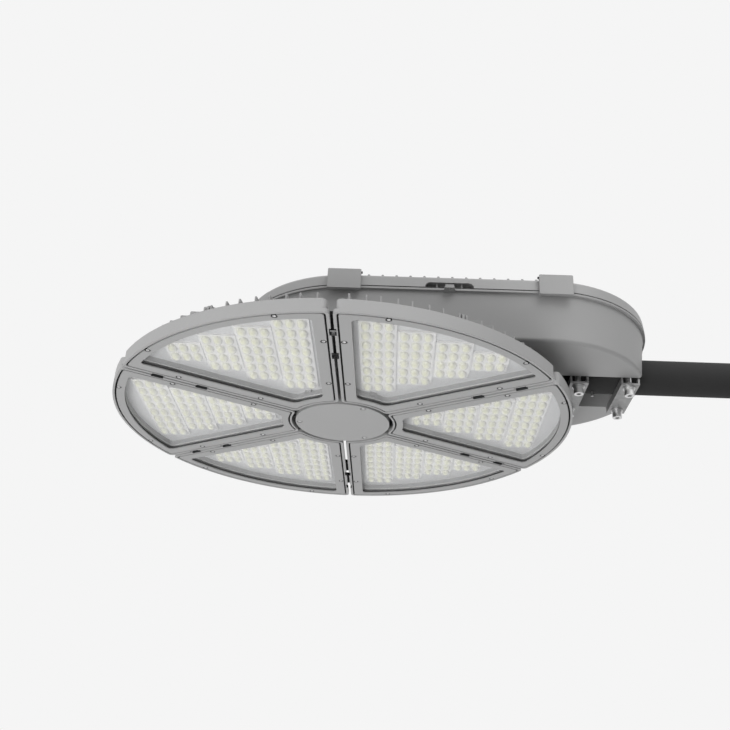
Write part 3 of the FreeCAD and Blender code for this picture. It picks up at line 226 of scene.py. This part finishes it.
board_mask, wire = new_finish("board_mask")
board_place = wire.node("ShaderNodeTexCoord", output="Object")
tracks = wire.node("ShaderNodeTexBrick", {"offset": 0.5}, {
    "Vector": board_place,
    "Scale": 1 / TRACK_PITCH,
    "Mortar Size": 0.06,
    "Brick Width": 3.2,
    "Row Height": 1.1,
}, "Fac")
mask_grain = wire.noise(1400, 2)
surface(wire, wire.node("ShaderNodeBsdfPrincipled", None, {
    "Base Color": (tracks * 0.8 + mask_grain * 0.2).between(MASK_WHITE, TRACK_WHITE),
    "Roughness": 0.34 + mask_grain * 0.1,
    "Normal": wire.bump(tracks * -1 + mask_grain * 0.2, 0.00005, wire.soft_edges(0.0002)),
}))
dress(board_mask, *[f"module_{n}_led_boards" for n in MODULES])


# LEDs: one white ceramic package with a yellow phosphor pad under each lens, sixty to a module.
# They are soldered to the boards, and each sits in the hollow at the back of its lens.
PLATE_ROWS = (8, 6, 4, 2)
PLATE_PITCH = 0.055175
SIDE_PLATE = (0.0610875, 0.2171)
END_PLATE_X = 0.3078125
ROW_PITCH = 0.0283
COLUMN_PITCH = 0.01669
BOARD_FACE = 0.0164
PACKAGE = 0.0084
PACKAGE_HEIGHT = 0.0008
PACKAGE_TAPER = 0.0002
PACKAGE_CORNER = 0.8
PHOSPHOR_RADIUS = 0.0037
PHOSPHOR_HEIGHT = 0.0006
PHOSPHOR_PROFILE = ((0, 1), (0.45, 0.95), (0.8, 0.75), (1, 0.4))
CERAMIC_DULL = grey(226, 2)
CERAMIC_WHITE = grey(232, 2)
PHOSPHOR_PALE = srgb(246, 245, 212)
PHOSPHOR_DEEP = srgb(238, 235, 186)


def module_plates(module):
    """Middle and rows of a module's four plates: the long one at the rim in the two end modules."""
    turn = 2 * HALF_WEDGE * (module - 1)
    across = math.copysign(1, math.cos(turn))
    away = math.sin(turn)
    if abs(away) < 0.5:
        middles = [(across * (END_PLATE_X - step * PLATE_PITCH), 0) for step in range(4)]
    else:
        deep = math.copysign(SIDE_PLATE[1], away)
        middles = [(across * (SIDE_PLATE[0] + step * PLATE_PITCH), deep) for step in range(4)]
    return list(zip(middles, PLATE_ROWS))


def lens_middles(module):
    for (x, y), rows in module_plates(module):
        for column in (-1, 0, 1):
            for row in range(rows):
                yield x + column * COLUMN_PITCH, y + (row - (rows - 1) / 2) * ROW_PITCH


def ring_of(mesh, points):
    return [mesh.verts.new(point) for point in points]


def skin(mesh, rings, slot=0, closed=True):
    """Faces between rings of the same number of points, one after the other."""
    for first, second in zip(rings, rings[1:]):
        count = len(first)
        for i in range(count if closed else count - 1):
            j = (i + 1) % count
            face = mesh.faces.new((first[i], first[j], second[j], second[i]))
            face.material_index = slot
            face.smooth = True


def cap(mesh, ring, slot=0):
    face = mesh.faces.new(ring)
    face.material_index = slot
    face.smooth = True


def new_piece(name, mesh, *materials, sharp=35):
    """Turns a finished mesh into a piece that rides on the light's fixed body."""
    bmesh.ops.recalc_face_normals(mesh, faces=mesh.faces)
    data = bpy.data.meshes.new(name)
    mesh.to_mesh(data)
    mesh.free()
    data.set_sharp_from_angle(angle=math.radians(sharp))
    piece = bpy.data.objects.new(name, data)
    bpy.context.scene.collection.objects.link(piece)
    for material in materials:
        data.materials.append(material)
    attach(piece, "root")
    return piece


def square(x, y, z, half):
    """Eight points of a square with its corners cut, from the +X side round."""
    cut = half * PACKAGE_CORNER
    outline = ((half, -cut), (half, cut), (cut, half), (-cut, half),
               (-half, cut), (-half, -cut), (-cut, -half), (cut, -half))
    return [(x + dx, y + dy, z) for dx, dy in outline]


def circle(x, y, z, radius, count=16):
    turns = [2 * math.pi * i / count for i in range(count)]
    return [(x + radius * math.cos(turn), y + radius * math.sin(turn), z) for turn in turns]


ceramic, wire = new_finish("led_ceramic")
ceramic_grain = wire.noise(2500, 2)
surface(wire, wire.node("ShaderNodeBsdfPrincipled", None, {
    "Base Color": ceramic_grain.between(CERAMIC_DULL, CERAMIC_WHITE),
    "Roughness": 0.4 + ceramic_grain * 0.1,
    "Normal": wire.bump(ceramic_grain, 0.00002, wire.soft_edges(0.0001)),
}))

phosphor, wire = new_finish("led_phosphor")
phosphor_grain = wire.noise(4000, 3, 0.6)
surface(wire, wire.node("ShaderNodeBsdfPrincipled", None, {
    "Base Color": phosphor_grain.between(PHOSPHOR_DEEP, PHOSPHOR_PALE),
    "Roughness": 0.3 + phosphor_grain * 0.2,
    "Coat Weight": 0.4,
    "Normal": wire.bump(phosphor_grain, 0.00003, wire.soft_edges(0.0001)),
}))

for module in MODULES:
    chips = bmesh.new()
    package_face = BOARD_FACE - PACKAGE_HEIGHT
    for x, y in lens_middles(module):
        foot = ring_of(chips, square(x, y, BOARD_FACE, PACKAGE / 2))
        top = ring_of(chips, square(x, y, package_face, PACKAGE / 2 - PACKAGE_TAPER))
        cap(chips, foot)
        skin(chips, [foot, top])
        cap(chips, top)
        pad = [ring_of(chips, circle(x, y, package_face - PHOSPHOR_HEIGHT * rise, PHOSPHOR_RADIUS * size))
               for rise, size in PHOSPHOR_PROFILE]
        cap(chips, pad[0], 1)
        skin(chips, pad, 1)
        cap(chips, pad[-1], 1)
    led_chips = new_piece(f"module_{module}_leds", chips, ceramic, phosphor)


# Lens plates: clear moulded plates, one over each board, with an oval lens over each LED and a
# round hollow behind it. They clip over the boards, edge to edge, and throw the light to the sides.
PLATE_WIDTH = 0.0541
PLATE_FACE = 0.0149
LENS_HALF_WIDTH = 0.0067
LENS_HALF_LENGTH = 0.0115
LENS_HEIGHT = 0.0056
LENS_FOOT = (1.06, 1.04)
LENS_STEP = 0.0002
LENS_ROUNDING = (0.8, 0.9)
LENS_RINGS = 7
HOLLOW_RADIUS = 0.0052
HOLLOW_DEPTH = 0.003
HOLLOW_PROFILE = ((1, 0), (0.97, 0.4), (0.8, 0.75), (0.45, 1))
SIDE_STEPS = (4, 8)
SEAM_REACH = 0.00001
LENS_CLEAR = grey(226)
LENS_BRIGHT = grey(234)
LENS_WARM = srgb(231, 232, 206)
YELLOW_SHIFT = (-0.0012, -0.003)
YELLOW_PEAK = 1.25
YELLOW_FALL = 1.15
LENS_OPEN = grey(252)
LENS_FROST = grey(250)
LENS_HAZE = 0.66
LENS_RIM = 0.25
LENS_PAINTED_GLOW = 0.2


def cell_border(left, right, low, high, z):
    """Points round a rectangle, evenly spaced along each side, so that neighbouring cells share them."""
    across, along = SIDE_STEPS
    points = [(left + (right - left) * i / across, low, z) for i in range(across)]
    points += [(right, low + (high - low) * i / along, z) for i in range(along)]
    points += [(right - (right - left) * i / across, high, z) for i in range(across)]
    points += [(left, high - (high - low) * i / along, z) for i in range(along)]
    return points


def oval(border, x, y, half_width, half_length, z):
    """The oval's points that lie in the directions of a border's points."""
    points = []
    for px, py, _ in border:
        turn = math.atan2((py - y) / half_length, (px - x) / half_width)
        points.append((x + half_width * math.cos(turn), y + half_length * math.sin(turn), z))
    return points


def lens_profile(step):
    """Width and height of a lens at one of its rings, as shares of the whole: steep sides, a broad top."""
    turn = step / LENS_RINGS * math.pi / 2
    return math.cos(turn) ** LENS_ROUNDING[0], math.sin(turn) ** LENS_ROUNDING[1]


def yellow_share(point, x, y):
    """How much of its LED's yellow, painted into a lens as the LED's image seen through it, shows at a
    point: most a little to the near left of its LED.
    """
    across = (point.x - x - YELLOW_SHIFT[0]) / LENS_HALF_WIDTH
    along = (point.y - y - YELLOW_SHIFT[1]) / LENS_HALF_LENGTH
    return min(max(YELLOW_PEAK - YELLOW_FALL * math.hypot(across, along), 0), 1)


def add_lens_cell(mesh, x, y, sides):
    """One lens with the plate around it, out to the cell's sides."""
    painted_led_image = mesh.verts.layers.float["painted_led_image"]
    front = cell_border(*sides, PLATE_FACE)
    back = cell_border(*sides, BOARD_FACE)
    foot = (LENS_HALF_WIDTH * LENS_FOOT[0], LENS_HALF_LENGTH * LENS_FOOT[1])
    rings = [front, oval(front, x, y, *foot, PLATE_FACE)]
    for step in range(LENS_RINGS):
        width, height = lens_profile(step)
        z = PLATE_FACE - LENS_STEP - (LENS_HEIGHT - LENS_STEP) * height
        rings.append(oval(front, x, y, LENS_HALF_WIDTH * width, LENS_HALF_LENGTH * width, z))
    dome = [ring_of(mesh, points) for points in rings]
    skin(mesh, dome)
    cap(mesh, dome[-1])
    for ring in dome[1:]:
        for vertex in ring:
            vertex[painted_led_image] = yellow_share(vertex.co, x, y)
    hollow = [back]
    for size, depth in HOLLOW_PROFILE:
        radius = HOLLOW_RADIUS * size
        hollow.append(oval(back, x, y, radius, radius, BOARD_FACE - HOLLOW_DEPTH * depth))
    skin(mesh, [ring_of(mesh, points) for points in hollow], 1)
    cap(mesh, ring_of(mesh, hollow[-1]), 1)
    return front, back


def add_lens_plate(mesh, x, y, rows):
    edges_x = [x - PLATE_WIDTH / 2, x - COLUMN_PITCH / 2, x + COLUMN_PITCH / 2, x + PLATE_WIDTH / 2]
    half = rows * ROW_PITCH / 2
    for column in range(3):
        for row in range(rows):
            low = y - half + row * ROW_PITCH
            sides = (edges_x[column], edges_x[column + 1], low, low + ROW_PITCH)
            middle = (x + (column - 1) * COLUMN_PITCH, low + ROW_PITCH / 2)
            front, back = add_lens_cell(mesh, *middle, sides)
            across, along = SIDE_STEPS
            outer = ((row == 0, 0, across), (column == 2, across, along),
                     (row == rows - 1, across + along, across), (column == 0, 2 * across + along, along))
            for is_outer, start, steps in outer:
                if is_outer:
                    run = [(start + i) % len(front) for i in range(steps + 1)]
                    wall = [[front[i] for i in run], [back[i] for i in run]]
                    skin(mesh, [ring_of(mesh, points) for points in wall], closed=False)


lens_plastic, wire = new_finish("lens_plastic")
lens_grain = wire.noise(300, 2)
# The yellow in each lens is a painted image of its LED as seen through the dome.
warm = wire.node("ShaderNodeAttribute", {"attribute_name": "painted_led_image"}, output="Fac")
edge_on = wire.node("ShaderNodeLayerWeight", None, {"Blend": 0.35}, output="Facing")
tint = warm.between(lens_grain.between(LENS_CLEAR, LENS_BRIGHT), LENS_WARM)
# The lens plastic glows a little: painted light standing in for the light scattered inside the plastic.
milky = wire.node("ShaderNodeBsdfPrincipled", None, {
    "Base Color": tint,
    "Roughness": 0.12 + lens_grain * 0.06,
    "IOR": 1.49,
    "Coat Weight": 0.7,
    "Emission Color": tint,
    "Emission Strength": LENS_PAINTED_GLOW,
})
open_lens = wire.node("ShaderNodeBsdfTransparent", None, {"Color": LENS_OPEN})
surface(wire, wire.node("ShaderNodeMixShader", None, {
    0: LENS_HAZE + edge_on * LENS_RIM, 1: open_lens, 2: milky,
}))

lens_back, wire = new_finish("lens_back")
back_grain = wire.noise(300, 2)
frosted = wire.node("ShaderNodeBsdfPrincipled", None, {
    "Base Color": LENS_FROST,
    "Roughness": 0.3 + back_grain * 0.1,
})
open_back = wire.node("ShaderNodeBsdfTransparent", None, {"Color": LENS_OPEN})
surface(wire, wire.node("ShaderNodeMixShader", None, {
    0: 0.04 + back_grain * 0.04, 1: open_back, 2: frosted,
}))

for module in MODULES:
    plates = bmesh.new()
    plates.verts.layers.float.new("painted_led_image")
    for (x, y), rows in module_plates(module):
        add_lens_plate(plates, x, y, rows)
    bmesh.ops.remove_doubles(plates, verts=plates.verts, dist=SEAM_REACH)
    lens_plates = new_piece(f"module_{module}_lenses", plates, lens_plastic, lens_back)
    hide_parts(f"module_{module}_lens_plates")


# Glass gaskets: flat strips of pale grey silicone, one round each tray. They lie in the tray's rim
# under the edge of the glass and keep rain and insects out.
SILICONE_DULL = grey(206)
SILICONE_PALE = grey(218)

pale_silicone, wire = new_finish("pale_silicone")
silicone_grain = wire.noise(1200, 3, 0.6)
surface(wire, wire.node("ShaderNodeBsdfPrincipled", None, {
    "Base Color": silicone_grain.between(SILICONE_DULL, SILICONE_PALE),
    "Roughness": 0.55 + silicone_grain * 0.15,
    "Normal": wire.bump(silicone_grain, 0.00004, wire.soft_edges(0.0003)),
}))
dress(pale_silicone, "glass_gaskets")


# Glass panes: flat toughened glass, 4 mm thick, one over each tray. The frame presses the pane's
# edge against the gasket.
GLASS_CLEAR = grey(253)
GLASS_SHEEN = grey(240)

clear_glass, wire = new_finish("clear_glass")
glass_film = wire.noise(9, 3)
facing = wire.node("ShaderNodeLayerWeight", None, {"Blend": 0.5}, output="Facing")
clear = wire.node("ShaderNodeBsdfTransparent", None, {"Color": GLASS_CLEAR})
sheen = wire.node("ShaderNodeBsdfPrincipled", None, {
    "Base Color": GLASS_SHEEN,
    "Roughness": 0.03 + glass_film * 0.05,
    "Specular IOR Level": 1.0,
})
surface(wire, wire.node("ShaderNodeMixShader", None, {0: 0.02 + facing ** 5 * 0.5, 1: clear, 2: sheen}))
dress(clear_glass, *[f"module_{n}_glass" for n in MODULES])


# Front frames and centre cover: flat die-cast frames that hold the glass down, and the round plate
# over the hub. They are coated in the same grey as the housings.
FRAME_GREY = 164
frame_paint = powder_coat("frame_paint", FRAME_GREY, edge=0.0006)
dress(frame_paint, "centre_cover", *[f"module_{n}_frame" for n in MODULES])


# Frame seals: black rubber, whose black also serves as painted shade in the seam round each frame,
# along the window edges and round the screw heads. A lip runs along the edge of each window, a strip
# fills the seam round each frame, and a ring lies round the head of each frame screw.
RUBBER_AND_SHADE_BLACK = grey(10)
RUBBER_DUSTY = grey(24)
LIP_SHADE_DARK = grey(60)
LIP_SHADE_PALE = grey(76)
LIP_RADII = (0.098, 0.364)
LIP_OFFSET = 0.021
LIP_LEVEL = 0.008


def on_lip_shade(wire):
    """One on the lips round the windows, which are paler and whose grey is painted shade along the window
    edges, and nought on the other seals.
    """
    radius, from_gap, z = disc_place(wire)
    inner, outer = LIP_RADII
    return (radius > inner) * (radius < outer) * (from_gap > LIP_OFFSET) * (z < LIP_LEVEL)


black_rubber, wire = new_finish("black_rubber")
rubber_grain = wire.noise(1600, 3, 0.6)
rubber_dust = wire.noise(25, 3) * 0.7 + rubber_grain * 0.3
seal_and_shade_colour = rubber_dust.between(RUBBER_AND_SHADE_BLACK, RUBBER_DUSTY)
lip_shade_colour = rubber_dust.between(LIP_SHADE_DARK, LIP_SHADE_PALE)
surface(wire, wire.node("ShaderNodeBsdfPrincipled", None, {
    "Base Color": on_lip_shade(wire).between(seal_and_shade_colour, lip_shade_colour),
    "Roughness": 0.68 + rubber_grain * 0.15,
    "Specular IOR Level": 0.2,
    "Normal": wire.bump(rubber_grain, 0.00004, wire.soft_edges(0.0003)),
}))
dress(black_rubber, "frame_seals")


# Screws, bolts and pins that stay bright: stainless steel, turned or cold headed. They hold the
# frames and the cover on, the modules to the hub, the lid on its hinge and the arm in its clamps.
STEEL_DARK = grey(196)
STEEL_LIGHT = grey(238)

bright_steel, wire = new_finish("bright_steel")
steel_grain = wire.noise(900, 3, 0.6)
steel_cloud = wire.noise(60, 2)
surface(wire, wire.node("ShaderNodeBsdfPrincipled", None, {
    "Base Color": (steel_grain * 0.5 + steel_cloud * 0.5).between(STEEL_DARK, STEEL_LIGHT),
    "Metallic": 0.95,
    "Roughness": 0.3 + steel_grain * 0.14,
    "Normal": wire.bump(steel_grain, 0.00002, wire.soft_edges(0.0003)),
}))
dress(bright_steel, "frame_screws", "centre_cover_screws", "carrier_bolts", "clamp_bolts", "clamp_washers",
      "hinge_pins")


# Link blocks and clip pins: small steel parts, blackened. The blocks tie neighbouring modules
# together and show through the notches in the gaps, and the clips turn on the pins.
BLACKENED = grey(14)
RUBBED = grey(34)

dark_steel, wire = new_finish("dark_steel")
oxide = wire.noise(500, 3, 0.6)
surface(wire, wire.node("ShaderNodeBsdfPrincipled", None, {
    "Base Color": oxide.between(BLACKENED, RUBBED),
    "Roughness": 0.6 + oxide * 0.2,
    "Specular IOR Level": 0.15,
    "Normal": wire.bump(oxide, 0.00003, wire.soft_edges(0.0003)),
}))
dress(dark_steel, "link_blocks", "clip_pins")


# Hub: a round aluminium casting in the middle of the disc. The modules bolt to it from above, and
# it carries the gear box on its bosses.
dress(housing_paint, "hub")


# Gear box: an oval die-cast body and lid, coated grey. The lid closes on a gasket, hinges at the
# far side and is held by two clips at the near side.
BOX_GREY = 160
box_paint = powder_coat("box_paint", BOX_GREY, peel=0.00008, edge=0.0012)
dress(box_paint, "gear_box_body", "gear_box_lid", "clip_left", "clip_right", "arm_saddles")
dress(black_rubber, "lid_gasket")


# Gear tray: folded galvanised sheet, screwed to the floor of the gear box. It carries the drivers
# and the terminals.
ZINC_DARK = grey(150, -1)
ZINC_LIGHT = grey(186, -1)


def zinc(name, dark, light, rough):
    """Zinc on steel: flat grey, with large faint spangles."""
    material, wire = new_finish(name)
    place = wire.node("ShaderNodeTexCoord", output="Object")
    cells = {"Vector": place, "Scale": 130.0}
    spangle = wire.node("ShaderNodeTexVoronoi", {"feature": "F1"}, cells, "Color")
    flake = wire.node("ShaderNodeSeparateColor", None, {"Color": spangle}, "Red")
    grain = wire.noise(700, 3, 0.6)
    shader = wire.node("ShaderNodeBsdfPrincipled", None, {
        "Base Color": (flake * 0.55 + grain * 0.45).between(dark, light),
        "Metallic": 0.75,
        "Roughness": rough + grain * 0.16 - flake * 0.06,
        "Normal": wire.bump(grain, 0.00004, wire.soft_edges(0.0005)),
    })
    surface(wire, shader)
    return material


tray_zinc = zinc("tray_zinc", ZINC_DARK, ZINC_LIGHT, 0.38)
dress(tray_zinc, "gear_tray")


# LED drivers: two closed aluminium cases filled with potting, screwed to the gear tray.
# They turn the mains into the current that the boards need.
CASE_DARK = grey(176)
CASE_LIGHT = grey(206)

driver_case, wire = new_finish("driver_case")
drawn = wire.noise(40, 3, 0.6, (1, 40, 40))
case_grain = wire.noise(900, 2)
surface(wire, wire.node("ShaderNodeBsdfPrincipled", None, {
    "Base Color": (drawn * 0.7 + case_grain * 0.3).between(CASE_DARK, CASE_LIGHT),
    "Metallic": 0.8,
    "Roughness": 0.36 + drawn * 0.14,
    "Normal": wire.bump(drawn, 0.00004, wire.soft_edges(0.0006)),
}))
dress(driver_case, "led_driver_near", "led_driver_far")


# Surge protector and terminal block: moulded grey plastic, clipped to the gear tray beside the
# drivers. The mains comes in at the block, and the protector takes up lightning surges.
MOULDED_DARK = grey(96)
MOULDED_LIGHT = grey(112)

gear_plastic, wire = new_finish("gear_plastic")
spark = wire.noise(1100, 2, 0.6)
surface(wire, wire.node("ShaderNodeBsdfPrincipled", None, {
    "Base Color": spark.between(MOULDED_DARK, MOULDED_LIGHT),
    "Roughness": 0.5 + spark * 0.12,
    "Normal": wire.bump(spark, 0.00004, wire.soft_edges(0.0005)),
}))
dress(gear_plastic, "surge_protector", "terminal_block")


# Cable gland: black nylon, screwed into the floor of the gear box over the hub's hole. The leads
# to the modules pass down through it.
NYLON_DARK = grey(26)
NYLON_LIGHT = grey(40)

gland_nylon, wire = new_finish("gland_nylon")
nylon_grain = wire.noise(1300, 2)
surface(wire, wire.node("ShaderNodeBsdfPrincipled", None, {
    "Base Color": nylon_grain.between(NYLON_DARK, NYLON_LIGHT),
    "Roughness": 0.42 + nylon_grain * 0.15,
    "Normal": wire.bump(nylon_grain, 0.00003, wire.soft_edges(0.0004)),
}))
dress(gland_nylon, "cable_gland")


# Mast arm: a steel tube, galvanised and painted dark grey.
# It lies in the channel under the gear box and is clamped there.
ARM_GREY = 55
arm_paint = powder_coat("arm_paint", ARM_GREY, peel=0.00007, gloss=0.7, shine=0.12)
dress(arm_paint, "mast_arm")


# Clamp straps and arm pin: two bent zinc-plated bars that pull the arm up into the channel, each with
# a bolt and washers at either end, and a zinc-plated pin that keeps the arm from sliding out.
STRAP_DARK = grey(138)
STRAP_LIGHT = grey(168)
strap_zinc = zinc("strap_zinc", STRAP_DARK, STRAP_LIGHT, 0.42)
dress(strap_zinc, "clamp_strap_inner", "clamp_strap_outer", "arm_pin")


# Studio: a floor far below the light that is paler beyond it, a sky that is brighter overhead, and
# three broad soft lamps: above the near side, to the left, and below the near side.
FLOOR_DROP = -2.6
FLOOR_HALF = 14
FLOOR_FADE = (-2.5, 4.0)
FLOOR_DARK = grey(70)
FLOOR_PALE = grey(244)
SKY_LOW = 0.3
SKY_HIGH = 1.12
SKY_TOP = 0.85
BACKDROP = grey(245)
LAMPS = (
    ("key", (1.5, -2.3, 3.2), 2.4, 62),
    ("side", (-3.3, -1.4, -1.2), 2.4, 30),
    ("front", (-0.8, -2.1, -2.2), 1.8, 68),
)
LAMP_AIM = (0.12, -0.1, 0.08)

floor_mesh = bmesh.new()
floor_corners = ((-1, -1), (1, -1), (1, 1), (-1, 1))
floor_points = [(x * FLOOR_HALF, y * FLOOR_HALF, FLOOR_DROP) for x, y in floor_corners]
cap(floor_mesh, ring_of(floor_mesh, floor_points))
floor_data = bpy.data.meshes.new("floor")
floor_mesh.to_mesh(floor_data)
floor_mesh.free()
floor = bpy.data.objects.new("floor", floor_data)
bpy.context.scene.collection.objects.link(floor)
floor_paint, wire = new_finish("floor_paint")
spot = wire.node("ShaderNodeTexCoord", output="Object")
depth = wire.node("ShaderNodeSeparateXYZ", None, {"Vector": spot}, "Y")
away = wire.node("ShaderNodeMapRange", {"interpolation_type": "SMOOTHSTEP"}, {
    "Value": depth + wire.noise(3) * 0.2, "From Min": FLOOR_FADE[0], "From Max": FLOOR_FADE[1],
})
lit_floor = wire.node("ShaderNodeBsdfPrincipled", None, {
    "Base Color": away.between(FLOOR_DARK, FLOOR_PALE),
    "Roughness": 0.9,
})
pale_floor = wire.node("ShaderNodeEmission", None, {"Color": BACKDROP})
floor_seen = wire.node("ShaderNodeLightPath", output="Is Camera Ray")
surface(wire, wire.node("ShaderNodeMixShader", None, {0: floor_seen, 1: lit_floor, 2: pale_floor}))
floor_data.materials.append(floor_paint)

sky = bpy.data.worlds.new("studio")
sky.use_nodes = True
sky.node_tree.nodes.clear()
wire = Wire(sky.node_tree)
seen = wire.node("ShaderNodeLightPath", output="Is Camera Ray")
mirrored = wire.node("ShaderNodeLightPath", output="Is Glossy Ray")
looked_through = wire.node("ShaderNodeLightPath", output="Is Transmission Ray")
way = wire.node("ShaderNodeTexCoord", output="Generated")
height = wire.node("ShaderNodeSeparateXYZ", None, {"Vector": way}, "Z")
overhead = wire.node("ShaderNodeMapRange", {"interpolation_type": "SMOOTHSTEP"}, {
    "Value": height, "From Max": SKY_TOP,
})
even = wire.node("ShaderNodeBackground", None, {
    "Color": (1, 1, 1, 1), "Strength": SKY_LOW + overhead * (SKY_HIGH - SKY_LOW),
})
pale = wire.node("ShaderNodeBackground", None, {"Color": BACKDROP, "Strength": 1.0})
shown = (seen + mirrored + looked_through) > 0.5
wire.node("ShaderNodeOutputWorld", None, {
    "Surface": wire.node("ShaderNodeMixShader", None, {0: shown, 1: even, 2: pale}),
})
bpy.context.scene.world = sky

for name, lamp_place, size, power in LAMPS:
    lamp_data = bpy.data.lights.new(name, "AREA")
    lamp_data.size = size
    lamp_data.energy = power
    lamp = bpy.data.objects.new(name, lamp_data)
    bpy.context.scene.collection.objects.link(lamp)
    lamp.location = lamp_place
    lamp.rotation_mode = "QUATERNION"
    lamp.rotation_quaternion = (Vector(LAMP_AIM) - Vector(lamp_place)).to_track_quat("-Z", "Y")


# Camera: below the light and to its near side, looking up at the windows, so that the disc shows
# as a flat oval with the gear box behind it.
VIEW_PLACE = (0.09601, -1.46066, -0.61148)
VIEW_RIGHT = (0.99865477, 0.01953531, 0.04803137)
VIEW_UP = (-0.03437024, -0.44418567, 0.89527535)
VIEW_AHEAD = (-0.03882432, 0.89572185, 0.44291670)
VIEW_LENS = 46.376
VIEW_SENSOR = 36
VIEW_NEAREST = 0.02
VIEW_FARTHEST = 60

view_data = bpy.data.cameras.new("view")
view_data.sensor_width = VIEW_SENSOR
view_data.lens = VIEW_LENS
view_data.clip_start = VIEW_NEAREST
view_data.clip_end = VIEW_FARTHEST
view = bpy.data.objects.new("view", view_data)
bpy.context.scene.collection.objects.link(view)
axes = Matrix((VIEW_RIGHT, VIEW_UP, [-part for part in VIEW_AHEAD])).transposed().to_4x4()
view.matrix_world = Matrix.Translation(VIEW_PLACE) @ axes
bpy.context.scene.camera = view
bpy.context.scene.view_settings.view_transform = "Standard"
